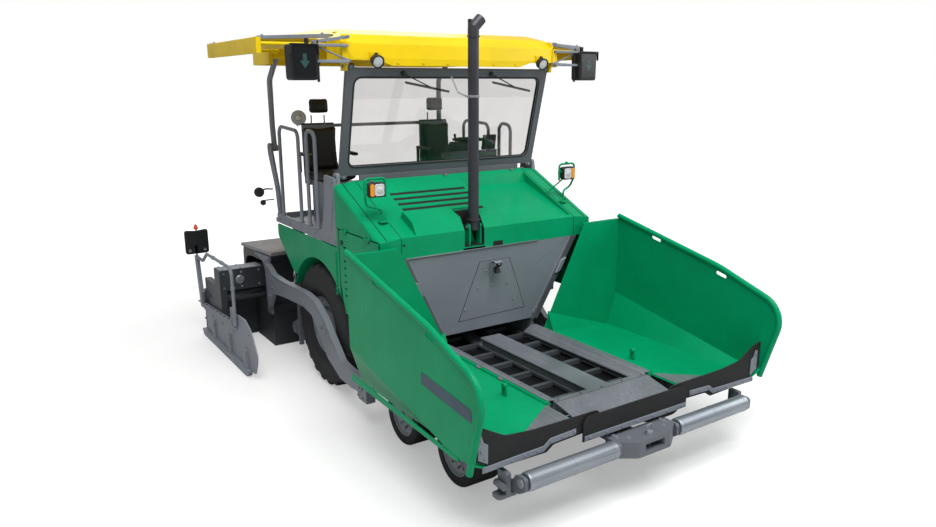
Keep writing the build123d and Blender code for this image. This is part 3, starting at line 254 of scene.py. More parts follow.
# finish, how it is made
FINISHES = {
    "green enamel": lambda: stove_enamel("green_enamel", paint().body, paint().body_deep),
    "grey coat": lambda: powder_coat("grey_powder_coat", paint().frame, paint().frame_deep),
    "dark coat": lambda: powder_coat("dark_powder_coat", "#3a3e44", "#2a2d32"),
    "worn steel": lambda: scuffed_steel("worn_steel", "#878c93", "#5f646b", "Y", 0.3, 0.00004),
    "roller steel": lambda: scuffed_steel("rolled_steel", "#a9b1b8", "#868e96", "X", 0.75),
    "cast iron": lambda: powder_coat("painted_casting", "#62676e", "#53575e"),
    "mid coat": lambda: powder_coat("satin_frame_paint", "#5a5e64", "#4d5157", 0.4),
    "rim coat": lambda: powder_coat("rim_powder_coat", "#8f949b", "#7d828a", 0.4),
    "auger steel": lambda: scuffed_steel("auger_steel", "#8f9092", "#4a4b4e", "X"),
    "black bars": lambda: scuffed_steel("conveyor_bar_steel", "#6f7479", "#45494e", "X", 0.5),
    # near black: painted shade for the conveyor's floor under the bars
    "painted shade plate": lambda: scuffed_steel("conveyor_painted_shade_plate", "#1c1c1e", "#0e0e10", "Y", 0.3),
    "tyre": lambda: vulcanised_rubber("tyre_rubber"),
    "flap": lambda: vulcanised_rubber("flap_rubber", "#101113", "#1f2022"),
    "black plastic": lambda: moulded_plastic("black_moulded_plastic", "#15161a"),
    "pipe black": lambda: powder_coat("exhaust_heat_paint", "#33343c", "#25262c", 0.4),
    "yellow gelcoat": lambda: gelcoat("yellow_gelcoat", paint().roof, paint().roof_deep),
    "band paint": lambda: stove_enamel("grey_blue_band_enamel", "#4d5c69", "#465460"),
    "bolt zinc": lambda: scuffed_steel("zinc_plated_steel", "#8d9197", "#6c7076", "X", 0.6),
    "bright steel": lambda: scuffed_steel("machined_steel", "#9fa3aa", "#7d8188", "X", 0.6),
    "speckled steel": lambda: flaked_steel("arm_wear_plate"),
    # near-black dull rubber: painted shade in gaps, grooves, holes and recesses
    "painted shade black": lambda: vulcanised_rubber("shadow_gap", "#0a0b0c", "#121314"),
    "glossy black": lambda: moulded_plastic("black_acrylic", "#0b0f14", 0.12),
    "white plastic": lambda: moulded_plastic("white_moulded_plastic", "#dedfdf"),
    "orange cone": lambda: moulded_plastic("orange_moulded_plastic", "#d9531e"),
    "arrow lens": lambda: lamp_lens("smoked_green_acrylic", "#124a44", 0.02),
    "chrome": lambda: hard_chrome("hard_chrome"),
    "glass": lambda: laminated_glass("laminated_glass"),
    "tread": lambda: ribbed_aluminium("ribbed_aluminium"),
    "vinyl": lambda: grained_vinyl("grained_vinyl"),
    "white lens": lambda: lamp_lens("clear_acrylic", "#d9dcdf", 0.05),
    "amber lens": lambda: lamp_lens("amber_acrylic", "#f59a12", 0.15),
    # glows faintly though it sits on no lamp: painted glow on the screed's reflectors and the seat buckles
    "red lens": lambda: lamp_lens("red_acrylic", "#b1171d", 0.05),
}


def paint():
    """The colours that a user may change."""
    return bpy.context.scene.paver_paint


made = {}


def finish(name):
    """A finish by name, made the first time it is asked for."""
    if name not in made:
        made[name] = FINISHES[name]()
    return made[name]


class PaverPaint(PropertyGroup):
    """Paints of the machine."""

    body: StringProperty(name="Body", description="Body green, as a hex colour", default="#049765")
    body_deep: StringProperty(name="Body, dusty", description="Body green under dust", default="#048e5d")
    frame: StringProperty(name="Frame", description="Grey of the steelwork", default="#7f858e")
    frame_deep: StringProperty(name="Frame, dusty", description="Grey of the steelwork, dusty",
        default="#727882")
    roof: StringProperty(name="Roof", description="Roof yellow, as a hex colour", default="#dbbc08")
    roof_deep: StringProperty(name="Roof, faded", description="Roof yellow where it has faded",
        default="#f5cf00")


# finish, CAD nodes that wear it
NODE_FINISHES = (
    ("green enamel", ("hopper_wing_left", "hopper_wing_right", "engine_hood", "side_door_left",
                      "side_door_right",
                      "fenders")),
    ("grey coat", ("chassis_frame", "final_drives", "platform_sides", "front_axle", "front_knuckle_left",
                   "front_knuckle_right",
                   "second_knuckle_left", "second_knuckle_right", "platform",
                   "operator_station", "handrails", "rear_posts", "screed_arms", "end_gate_left",
                   "end_gate_right",
                   "lift_barrels")),
    ("rim coat", ("front_rim_left", "front_rim_right", "second_rim_left", "second_rim_right", "rear_rim_left",
                  "rear_rim_right")),
    ("roller steel", ("push_rollers",)),
    ("cast iron", ("push_bar",)),
    ("mid coat", ("windscreen_frame",)),
    ("dark coat", ("engine_block", "screed_base", "screed_extension_left", "screed_extension_right")),
    ("black bars", ("conveyor",)),
    ("worn steel", ("conveyor_covers",)),
    ("auger steel", ("auger_left", "auger_right")),
    ("tyre", ("front_tyre_left", "front_tyre_right", "second_tyre_left", "second_tyre_right",
              "rear_tyre_left",
              "rear_tyre_right")),
    ("flap", ("centre_flap", "wing_flap_left", "wing_flap_right")),
    ("black plastic", ("steering_wheel", "lamp_brackets", "headlights")),
    ("vinyl", ("seat_cushions",)),
    ("pipe black", ("exhaust_pipe",)),
    ("yellow gelcoat", ("roof", "awning_left", "awning_right")),
    ("chrome", ("lift_rods",)),
    ("glass", ("windscreen_glass",)),
    ("tread", ("screed_walkway",)),
)


class PAVER_OT_paint_frame(Operator):
    """Give every piece of the frame its finish"""

    bl_idname = "paver.paint_frame"
    bl_label = "Paint the frame"

    def execute(self, context):
        for name, members in NODE_FINISHES:
            for member in members:
                nodes[member].data.materials.clear()
                nodes[member].data.materials.append(finish(name))
        return {"FINISHED"}


# ---- Shapes ------------------------------------------------------------------
AXLE = 0.5065  # Y of the rear axle
TURN = 2 * np.pi


def place(points):
    """Points given as x, station behind the rear axle and z, carried to the frame."""
    return np.asarray(points, float) + (0, AXLE, 0)


def rings(grid, round_rings=True, closed_way=False):
    """Quads between neighbouring rings of a grid (rings, points, 3); open ends get a face each."""
    count, size = grid.shape[:2]
    index = np.arange(count * size).reshape(count, size)
    if closed_way:
        index = np.vstack([index, index[:1]])
    if round_rings:
        index = np.hstack([index, index[:, :1]])
    quads = np.stack([index[:-1, :-1], index[:-1, 1:], index[1:, 1:], index[1:, :-1]], -1).reshape(-1, 4)
    ends = [] if closed_way or not round_rings else [index[0, :-1][::-1].tolist(), index[-1, :-1].tolist()]
    return grid.reshape(-1, 3), quads.tolist() + ends


def rounded(points, radius=0.0, closed=True, steps=5):
    """A line through corners, each corner a parabola from one side's tangent point to the other's."""
    points = np.asarray(points, float)
    before, after = np.roll(points, 1, 0), np.roll(points, -1, 0)
    to_before, to_after = before - points, after - points
    reach = np.minimum(np.linalg.norm(to_before, axis=1), np.linalg.norm(to_after, axis=1))
    unit_before = to_before / np.linalg.norm(to_before, axis=1)[:, None]
    unit_after = to_after / np.linalg.norm(to_after, axis=1)[:, None]
    half = np.arccos(np.clip((unit_before * unit_after).sum(1), -0.9999, 0.9999)) / 2
    cut = np.minimum(np.broadcast_to(radius, reach.shape) / np.tan(half) + 1e-4, 0.48 * reach)[:, None]
    s = np.linspace(0, 1, steps)[None, :, None]
    start, end = points + unit_before * cut, points + unit_after * cut
    line = (1 - s) ** 2 * start[:, None] + 2 * s * (1 - s) * points[:, None] + s ** 2 * end[:, None]
    if closed:
        return line.reshape(-1, points.shape[1])
    return np.vstack([points[:1], line[1:-1].reshape(-1, points.shape[1]), points[-1:]])


def inward(outline, amount):
    """A flat outline drawn in: each point moves along the mean of its two sides' normals."""
    side = np.roll(outline, -1, 0) - outline
    side /= np.linalg.norm(side, axis=1)[:, None] + 1e-9
    normal = np.stack([-side[:, 1], side[:, 0]], -1)
    mean = normal + np.roll(normal, 1, 0)
    mean /= np.maximum((mean ** 2).sum(1) / 2, 0.6)[:, None]
    x, y = outline.T
    area = (x * np.roll(y, -1) - y * np.roll(x, -1)).sum()
    return outline + mean * amount * np.sign(area)


def slab(axis, outline, start, end, radius=0.0, edge=0.002):
    """An outline given by the two other coordinates, carried along an axis, its long edges chamfered."""
    flat = rounded(outline, radius)
    low, high = min(start, end), max(start, end)
    edge = min(edge, (high - low) / 3)
    layers = ((inward(flat, edge), low), (flat, low + edge), (flat, high - edge), (inward(flat, edge), high))
    grid = np.stack([np.insert(ring, "xdz".index(axis), at, axis=1) for ring, at in layers])
    return rings(place(grid))


def rect(left, right, low, high):
    """The four corners of a rectangle, in the order that an outline takes them."""
    return [(left, low), (right, low), (right, high), (left, high)]


def bar(x, d, z, radius=0.004, edge=0.002):
    """A squared bar between pairs of x, station and z, its edges rounded."""
    return slab("x", rect(d[0], d[1], z[0], z[1]), *x, radius, edge)


def axes_of(normal):
    """A right-handed turn whose third axis is the given direction."""
    third = np.asarray(normal, float) / np.linalg.norm(normal)
    first = np.cross((0, 0, 1) if abs(third[2]) < 0.9 else (1, 0, 0), third)
    first /= np.linalg.norm(first)
    return np.stack([first, np.cross(third, first), third])


def turned(profile, centre, axis, sides=32):
    """An (along, radius) profile turned about an axis; its ends are drawn to the axis."""
    along, radius = np.asarray([(profile[0][0], 0.0), *profile, (profile[-1][0], 0.0)], float).T
    angle = np.linspace(0, TURN, sides, endpoint=False)[:, None]
    local = np.stack([radius * np.cos(angle), radius * np.sin(angle), along + 0 * angle], -1)
    points, faces = rings(local, round_rings=False, closed_way=True)
    return points @ axes_of(axis) + place(centre), faces


def pipe(points, radius, bend=0.0, across=(1, 0, 0), sides=12, steps=6):
    """A round bar along a bent line: circles square to the line, one axis near a fixed direction."""
    line = place(rounded(points, bend, closed=False, steps=steps))
    tangent = np.gradient(line, axis=0)
    tangent /= np.linalg.norm(tangent, axis=1)[:, None]
    first = np.cross(tangent, across)
    first /= np.linalg.norm(first, axis=1)[:, None]
    second = np.cross(tangent, first)
    angle = np.linspace(0, TURN, sides, endpoint=False)[None, :, None]
    return rings(line[:, None] + radius * (np.cos(angle) * first[:, None] + np.sin(angle) * second[:, None]))


def repeated(shape, places, normal=None):
    """Copies of a shape at places; with a normal, the shape's third axis is turned to it first."""
    points, faces = shape
    if normal is not None:
        points = (points - place((0, 0, 0))) @ axes_of(normal)
    else:
        points = points - place((0, 0, 0))
    places = place(places)
    sizes = [[corner + step * len(points) for corner in face]
             for step in range(len(places)) for face in faces]
    return (places[:, None] + points[None]).reshape(-1, 3), sizes


def bolts(places, normal, radius=0.011):
    """Hexagon heads on washers, their faces square to the normal."""
    washer = turned(((-0.002, 1.5 * radius), (0.003, 1.5 * radius)), (0, 0, 0), (0, 0, 1), 12)
    head = turned(((0.0, radius), (0.9 * radius, radius), (1.1 * radius, 0.8 * radius)), (0, 0, 0), (0, 0, 1),
        6)
    return merged(repeated(washer, places, normal), repeated(head, places, normal))


def merged(*shapes):
    """Several shapes as one."""
    starts = np.cumsum([0] + [len(points) for points, _ in shapes])
    faces = [[corner + int(start) for corner in face] for (_, each), start in zip(shapes, starts)
        for face in each]
    return np.vstack([points for points, _ in shapes]), faces


def mirrored(shape):
    """A shape and its copy on the machine's other side."""
    points, faces = shape
    return merged(shape, (points * (-1, 1, 1), faces))


def sided(shape, side):
    """A shape drawn for the left side, on the given side."""
    points, faces = shape
    return points * (side, 1, 1), faces


def piece(name, body, finish_name, slot, *shapes, smooth=38, stands_for=()):
    """A finished piece of one or more shapes, riding on a body."""
    points, faces = merged(*shapes)
    mesh = bpy.data.meshes.new(name)
    mesh.from_pydata(points, [], faces)
    form = bmesh.new()
    form.from_mesh(mesh)
    bmesh.ops.remove_doubles(form, verts=form.verts, dist=2e-5)
    bmesh.ops.dissolve_degenerate(form, edges=form.edges, dist=1e-6)
    bmesh.ops.recalc_face_normals(form, faces=form.faces)
    form.to_mesh(mesh)
    form.free()
    mesh.shade_smooth()
    mesh.set_sharp_from_angle(angle=np.radians(smooth))
    mesh.materials.append(finish(finish_name))
    obj = bpy.data.objects.new(name, mesh)
    bpy.context.scene.collection.objects.link(obj)
    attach(obj, body)
    if stands_for:
        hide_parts(*stands_for)
    return obj


# (along, radius) profiles turned in several places
COLLAR = ((-0.02, 0.047), (-0.018, 0.056), (0.018, 0.056), (0.02, 0.047))
RAIL_CLAMP = ((-0.02, 0.0205), (-0.018, 0.026), (0.018, 0.026), (0.02, 0.0205))
LATCH = ((0, 0.026), (0.006, 0.026), (0.01, 0.02))


# ---- Wheels ------------------------------------------------------------------
FRONT_ROWS = (("front", -2.62), ("second", -1.73))  # row, station of its axle
REAR_R, FRONT_R = 0.683, 0.28  # tyre radii, and so the axles' heights


class PaverWheels(PropertyGroup):
    """Tread and fixings of the wheels."""

    lugs: IntProperty(name="Lugs", description="Lugs on each half of a rear tyre", default=22, min=8)
    lug_depth: FloatProperty(name="Lug depth", description="Depth of the rear tyres' tread", unit="LENGTH",
        default=0.024)
    nuts: IntProperty(name="Wheel nuts", description="Nuts on each rear wheel", default=12, min=4)


def tyre_shape(centre, section, half, crown, depth, lugs):
    """A tyre: its section turned about the axle, its radius less the tread's depth between the lugs.

    A lug is where the turn, slanted by the distance from the middle, falls in a set part of each pitch."""
    profile = rounded(section[:, :2], section[:, 2], steps=7)
    gaps = np.linalg.norm(np.roll(profile, -1, 0) - profile, axis=1)
    way = np.concatenate([[0], np.cumsum(gaps)])
    at = np.linspace(0, way[-1], 97)[:-1]
    closed = np.vstack([profile, profile[:1]])
    along, radius = (np.interp(at, way, closed[:, k]) for k in (0, 1))
    steps = lugs * 20 if lugs else 96
    angle = np.linspace(0, TURN, steps, endpoint=False)[:, None]
    outside = np.clip((radius - (crown - 0.075)) / 0.02, 0, 1)
    if lugs:
        across = np.abs(along) / half
        phase = (angle * lugs / TURN + 0.55 * across + 0.5 * (along > 0)) % 1
        wall = np.clip((np.abs(phase - 0.5) - 0.17) / 0.05, 0, 1)
        rib = np.clip((0.13 - across) / 0.03, 0, 1)
        cut = depth * outside * wall * (1 - rib)
    else:
        cut = depth * outside * np.clip(1 - np.abs(np.abs(along) - 0.42 * half) / 0.009, 0, 1) + 0 * angle
    swell = 0.004 * np.clip(1 - np.abs(radius - (crown - 0.12)) / 0.012, 0, 1) * (crown > 0.5)
    out = np.sign(along) * swell
    local = np.stack([along + out + 0 * angle, (radius - cut) * np.cos(angle),
            (radius - cut) * np.sin(angle)], -1)
    points, faces = rings(local, closed_way=True)
    return points + place(centre), faces


class PAVER_OT_tyres(Operator):
    """Rear tyres with slanted lugs, and smooth solid front tyres with two grooves"""

    bl_idname = "paver.tyres"
    bl_label = "Tyres"

    def execute(self, context):
        wheels = context.scene.paver_wheels
        # along the axle, radius, corner
        rear = np.array([(-0.1625, 0.317, 0), (-0.1925, 0.407, 0.06), (-0.1805, 0.675, 0.05),
                (0.0, 0.683, 0.4), (0.1805, 0.675, 0.05), (0.1925, 0.407, 0.06), (0.1625, 0.317, 0)])
        front = np.array([(-0.146, 0.195, 0), (-0.15, 0.225, 0.01), (-0.15, 0.28, 0.026), (0.15, 0.28, 0.026),
                (0.15, 0.225, 0.01), (0.146, 0.195, 0)])
        for name, side in SIDES:
            shape = tyre_shape((side * 1.068, 0, REAR_R), rear, 0.1925, REAR_R, wheels.lug_depth, wheels.lugs)
            piece(f"rear_tyre_{name}_tread", f"rear_wheel_{name}", "tyre", "tyre_rubber", shape, smooth=30,
                stands_for=[f"rear_tyre_{name}"])
            for row, station in FRONT_ROWS:
                shape = tyre_shape((side * 1.08, station, FRONT_R), front, 0.15, FRONT_R, 0.007, 0)
                piece(f"{row}_tyre_{name}_tread", f"{row}_wheel_{name}", "tyre", "tyre_rubber", shape,
                    smooth=30, stands_for=[f"{row}_tyre_{name}"])
        return {"FINISHED"}


def ring_of(count, radius, x, centre, shift=0.0):
    """Places on a circle about a wheel's axle."""
    angle = np.linspace(0, TURN, count, endpoint=False) + shift
    station, height = centre
    return np.stack(
        [np.full(count, x), station + radius * np.cos(angle), height + radius * np.sin(angle)], -1)


class PAVER_OT_wheel_nuts(Operator):
    """Wheel nuts, hub bolts and grease caps"""

    bl_idname = "paver.wheel_nuts"
    bl_label = "Wheel nuts"

    def execute(self, context):
        nuts = context.scene.paver_wheels.nuts
        for name, side in SIDES:
            out = (side, 0, 0)
            hub = (0, REAR_R)
            piece(f"rear_wheel_{name}_nuts", f"rear_wheel_{name}", "bolt zinc", "rim_grey",
                bolts(ring_of(nuts, 0.168, side * 1.1465, hub, 0.1), out, 0.016),
                bolts(ring_of(6, 0.095, side * 1.178, hub), out, 0.009),
                turned(((-0.01, 0.045), (0.018, 0.045), (0.026, 0.036)), (side * 1.178, *hub), out, 24))
            for row, station in FRONT_ROWS:
                centre = (station, FRONT_R)
                piece(f"{row}_wheel_{name}_nuts", f"{row}_wheel_{name}", "bolt zinc", "rim_grey",
                    bolts(ring_of(8, 0.066, side * 1.212, centre), out, 0.010),
                    turned(((-0.01, 0.034), (0.01, 0.034), (0.016, 0.026)), (side * 1.212, *centre), out, 20))
                piece(f"{row}_wheel_{name}_studs", f"{row}_wheel_{name}", "dark coat", "dark_steel",
                    bolts(ring_of(6, 0.112, side * 1.190, centre, 0.3), out, 0.009))
        return {"FINISHED"}


# ---- Hopper ------------------------------------------------------------------
class PAVER_OT_hopper_fittings(Operator):
    """Stripe, floor lug, corner plates, clamping strips and their bolts"""

    bl_idname = "paver.hopper_fittings"
    bl_label = "Hopper fittings"

    def execute(self, context):
        for name, side in SIDES:
            body = f"wing_{name}"
            z_low = np.array([(0.645, 0.632), (0.90, 0.622), (0.96, 0.578), (1.515, 0.566)])
            band_line = np.vstack([z_low, (z_low + (0, 0.046))[::-1]])
            # painted band along the outer sheet, a thin film
            band = slab("x", [(-2.80, 1.055), (-2.80, 1.15), (-3.47, 1.09), (-3.47, 0.995)], side * 1.6319,
                side * 1.6326, 0.004, 0.0002)
            piece(f"hopper_band_{name}", body, "band paint", "frame_grey", band)
            # sill channel along the outer sheet's foot
            channel = slab("x", [(-1.56, 0.66), (-1.56, 0.72), (-3.30, 0.66), (-3.30, 0.63)], side * 1.618,
                side * 1.634, 0.01, 0.003)
            piece(f"hopper_sill_{name}", body, "green enamel", "body_green", channel)
            lug = sided(merged(slab("x", [(-2.69, 0.69), (-2.63, 0.69), (-2.635, 0.80), (-2.685, 0.80)],
                        0.745, 0.760, 0.02), turned(((-0.012, 0.02), (0.024, 0.02)), (0.745, -2.66, 0.785),
                        (1, 0, 0), 16)), side)
            piece(f"hopper_lug_{name}", body, "green enamel", "body_green", lug)
            # corner plate on the floor beside the conveyor, and the bolted strip that clamps the flap
            edge = np.array([(0.615, -3.04), (1.02, -3.27), (1.30, -3.36), (1.30, -3.41), (0.615, -3.41)])
            flat = rounded(edge, 0.01)
            rise = 0.7085 - 0.0965 * (flat[:, 0] - 0.615)
            plate = sided(rings(place(np.stack([np.column_stack([flat, rise + h]) for h in (0.0, 0.005)]))),
                side)
            x = np.linspace(0.66, 1.50, 8)
            clamp = sided(merged(slab("d", band_line, -3.4345, -3.443, 0.004),
                    bolts(np.stack([x, np.full(8, -3.443), np.interp(x, *z_low.T) + 0.023], -1), (0, -1, 0),
                        0.008)), side)
            ends = sided(merged(slab("d", [(1.47, 0.63), (1.555, 0.68), (1.555, 0.86), (1.525, 0.86),
                            (1.505, 0.80), (1.47, 0.78)], -3.4345, -3.444, 0.006),
                    bolts([(1.50, -3.444, 0.68), (1.53, -3.444, 0.74), (1.535, -3.444, 0.83)], (0, -1, 0),
                        0.008)), side)
            piece(f"hopper_strips_{name}", body, "grey coat", "bare_steel", clamp, ends)
            piece(f"hopper_corner_{name}", body, "worn steel", "bare_steel", plate)
            # bolts down the rear edge
            pins = sided(bolts([(1.60, -1.5385, z) for z in (1.05, 1.30, 1.55)], (0, 1, 0), 0.012), side)
            piece(f"hopper_rear_bolts_{name}", body, "green enamel", "body_green", pins)
        x = np.linspace(-0.52, 0.52, 7)
        piece("centre_flap_strip", "chassis", "grey coat", "bare_steel",
            slab("d", rect(-0.575, 0.575, 0.556, 0.60), -3.4585, -3.466, 0.004),
            bolts(np.stack([x, 0 * x - 3.466, 0 * x + 0.578], -1), (0, -1, 0), 0.009))
        return {"FINISHED"}


class PAVER_OT_conveyor_fittings(Operator):
    """Beam, side covers and apron over the conveyor, their bolts, and near-black sheets below them as painted
    shade under the bars
    """

    bl_idname = "paver.conveyor_fittings"
    bl_label = "Conveyor fittings"

    def execute(self, context):
        # near-black sheets under the conveyor's bars: painted shade where the floor lies in shadow
        shade_sheets = [slab("z", rect(side * 0.11, side * 0.48, -2.98, 0.80), 0.6001, 0.604, 0.0, 0.001)
            for side in (1, -1)]
        piece("conveyor_painted_shade_sheet", "chassis", "painted shade plate", "dark_steel", *shade_sheets)
        beam = slab("d", [(-0.10, 0.60), (-0.10, 0.69), (-0.125, 0.712), (-0.115, 0.722), (0.115, 0.722),
                (0.125, 0.712), (0.10, 0.69), (0.10, 0.60)], -3.03, -1.40, 0.004)
        side_cover = slab("d", [(0.592, 0.740), (0.53, 0.740), (0.435, 0.684), (0.435, 0.672), (0.535, 0.728),
                (0.592, 0.728)], -3.03, -1.40)
        top = np.array([(-3.00, 0.7245), (-3.06, 0.7245), (-3.30, 0.6725), (-3.40, 0.6335)])
        tongue = np.array([(-3.395, 0.635), (-3.444, 0.616)])
        apron = [slab("x", np.vstack([line, (line - (0, 0.012))[::-1]]), -half, half)
            for line, half in ((top, 0.53), (tongue, 0.365))]
        front = bar((-0.53, 0.53), (-3.035, -3.012), (0.56, 0.7125))
        piece("conveyor_plates", "chassis", "worn steel", "bare_steel",
            merged(beam, mirrored(side_cover), *apron, front), stands_for=["conveyor_covers"])
        edge = merged(slab("z", rect(-0.525, 0.525, -3.062, -3.056), 0.722, 0.727, 0.0, 0.001),
            bolts([(x, -3.035, 0.724) for x in np.linspace(-0.48, 0.48, 5)], (0, 0, 1), 0.008))
        piece("apron_edge", "chassis", "mid coat", "bare_steel", edge)
        cover = mirrored(bolts([(0.552, d, 0.7395) for d in np.arange(-2.90, -1.5, 0.28)], (0, 0, 1), 0.007))
        piece("conveyor_cover_bolts", "chassis", "bolt zinc", "bare_steel", cover)
        return {"FINISHED"}


# ---- Push bar ----------------------------------------------------------------
class PAVER_OT_push_bar_fittings(Operator):
    """Pin, bolts and end stops of the push bar, and bands on its rollers"""

    bl_idname = "paver.push_bar_fittings"
    bl_label = "Push bar fittings"

    def execute(self, context):
        pin = merged(turned(((0.0, 0.030), (0.02, 0.030), (0.028, 0.024)), (0, -3.59, 0.52), (0, 0, 1), 24),
            pipe([(-0.03, -3.59, 0.552), (-0.03, -3.59, 0.60), (0.03, -3.59, 0.60), (0.03, -3.59, 0.552)],
                0.006, 0.02, across=(0, 1, 0)))
        corners = bolts([(side * x, d, 0.5205) for side in (1, -1)
                for x, d in ((0.27, -3.50), (0.20, -3.56), (0.27, -3.46))], (0, 0, 1), 0.012)
        piece("push_bar_pin", "push_bar", "grey coat", "bare_steel", pin, corners)
        x = 1.251
        ends = mirrored(merged(turned(((0, 0.034), (0.024, 0.034), (0.03, 0.028)), (x, -3.563, 0.47),
                    (1, 0, 0), 20), bolts([(x + 0.001, -3.50, 0.43), (x + 0.001, -3.42, 0.395)], (1, 0, 0),
                    0.011), bolts([(1.245, -3.474, 0.36), (1.245, -3.474, 0.48)], (0, -1, 0), 0.010)))
        piece("push_bar_end_bolts", "push_bar", "bright steel", "bare_steel", ends)
        bands = mirrored(merged(*(turned(((-0.012, 0.0705), (-0.010, 0.0735), (0.010, 0.0735),
                            (0.012, 0.0705)), (at, -3.563, 0.47), (1, 0, 0), 40)
                    for at in (0.40, 0.79, 1.18))))
        piece("push_roller_bands", "push_rollers", "roller steel", "bare_steel", bands)
        return {"FINISHED"}


# ---- Hood --------------------------------------------------------------------
def hood_z(d):
    """Height of the hood's top at a station: it rises evenly from its front edge."""
    return 1.868 + (d + 1.457) * 0.463


class PAVER_OT_hood_fittings(Operator):
    """Painted shade in the seams, louvres and exhaust trough; clamps, vents, door catches and windscreen
    strip
    """

    bl_idname = "paver.hood_fittings"
    bl_label = "Hood fittings"

    def execute(self, context):
        # painted shade in the gaps between panels: thin black strips lying on the sheet
        seams = []
        for side in (1, -1):
            for x in (1.04, 1.185):
                drop = 0.0 if x < 1.1 else 0.013
                seams.append(pipe([(side * x, -1.452, hood_z(-1.452) - drop),
                            (side * x, -0.535, hood_z(-0.535) - drop)], 0.0032, sides=6))
            seams.append(pipe([(side * 1.04, -1.4575, 1.862), (side * 1.04, -1.4575, 1.67)], 0.0030, sides=6))
            seams.append(pipe([(side * 1.276, -0.596, 1.845), (side * 1.276, -0.596, 1.01)], 0.003, sides=6))
        seams.append(pipe([(-0.88, -1.1525, hood_z(-1.1525)), (-0.36, -1.1525, hood_z(-1.1525))], 0.003,
                across=(0, 0, 1), sides=6))
        piece("hood_seams", "chassis", "painted shade black", "dark_steel", *seams)
        # a black notch and hole in the hood's front edge: painted shade in the openings
        notch = slab("d", rect(-0.01, 0.11, 1.669, 1.722), -1.4572, -1.4592, 0.016, 0.0005)
        hole = turned(((0, 0.012), (0.002, 0.012)), (-1.015, -1.4575, 1.80), (0, -1, 0), 16)
        piece("hood_notch", "chassis", "painted shade black", "dark_steel", notch, hole)
        # painted shade: black strips in the louvres, and black sheets round the exhaust in the trough's
        # recess
        chamber = []
        for d in -0.776 - 0.085 * np.arange(5):
            low, high = hood_z(d - 0.040) - 0.004, hood_z(d) - 0.004
            chamber.append(slab("x", [(d - 0.040, low), (d, high), (d, high - 0.006),
                        (d - 0.040, low - 0.006)], -0.799, 0.089, 0.0, 0.0005))
        for x in (-0.3475, -0.1185):
            chamber.append(slab("x", [(-1.452, 1.70), (-1.452, 1.866), (-1.376, 1.984), (-1.23, 2.025),
                        (-1.23, 1.72), (-1.30, 1.70)], x - 0.002, x + 0.002, 0.01, 0.0005))
        back = rounded([(-1.228, 2.02), (-1.228, 1.7055), (-1.455, 1.7055)], 0.14, closed=False, steps=10)
        skin = np.concatenate([back, (back + (-0.003, 0.003))[::-1]])
        chamber.append(slab("x", skin, -0.347, -0.119, 0.0, 0.0005))
        piece("windscreen_cowl", "chassis", "mid coat", "frame_grey",
            bar((-0.99, 0.99), (-0.535, -0.505), (2.26, 2.352)))
        piece("exhaust_trough_painted_shade", "chassis", "painted shade black", "dark_steel", *chamber)
        # over-centre clamps at the screen's foot
        clamps = []
        for x in (-0.88, 0.0, 0.88):
            clamps += [bar((x - 0.022, x + 0.022), (-0.505, -0.502), (2.245, 2.295)),
                pipe([(x - 0.012, -0.508, 2.285), (x - 0.012, -0.56, 2.278), (x + 0.012, -0.56, 2.278),
                        (x + 0.012, -0.508, 2.285)], 0.004, 0.012, across=(0, 0, 1)),
                bar((x - 0.016, x + 0.016), (-0.575, -0.545), (hood_z(-0.56), hood_z(-0.56) + 0.022))]
        piece("hood_clamps", "chassis", "bright steel", "bare_steel", *clamps)
        # small half-round vents in a row near the body panel's rear edge
        vents = []
        for k in range(10):
            z = 1.58 - 0.045 * k
            vents.append(turned(((-0.02, 0.011), (0.018, 0.011), (0.022, 0.006)), (1.276, -0.515, z),
                    (0, 0.3, -1), 10))
        piece("side_vents", "chassis", "green enamel", "body_green", mirrored(merged(*vents)))
        for name, side in SIDES:
            pull = sided(merged(turned(LATCH, (1.2755, -0.665, 1.72), (1, 0, 0), 20),
                    turned(LATCH, (1.2755, -1.385, 1.12), (1, 0, 0), 20),
                    turned(LATCH, (1.2755, -1.385, 1.70), (1, 0, 0), 20)), side)
            piece(f"door_catches_{name}", f"door_{name}", "black plastic", "lamp_black", pull)
        return {"FINISHED"}


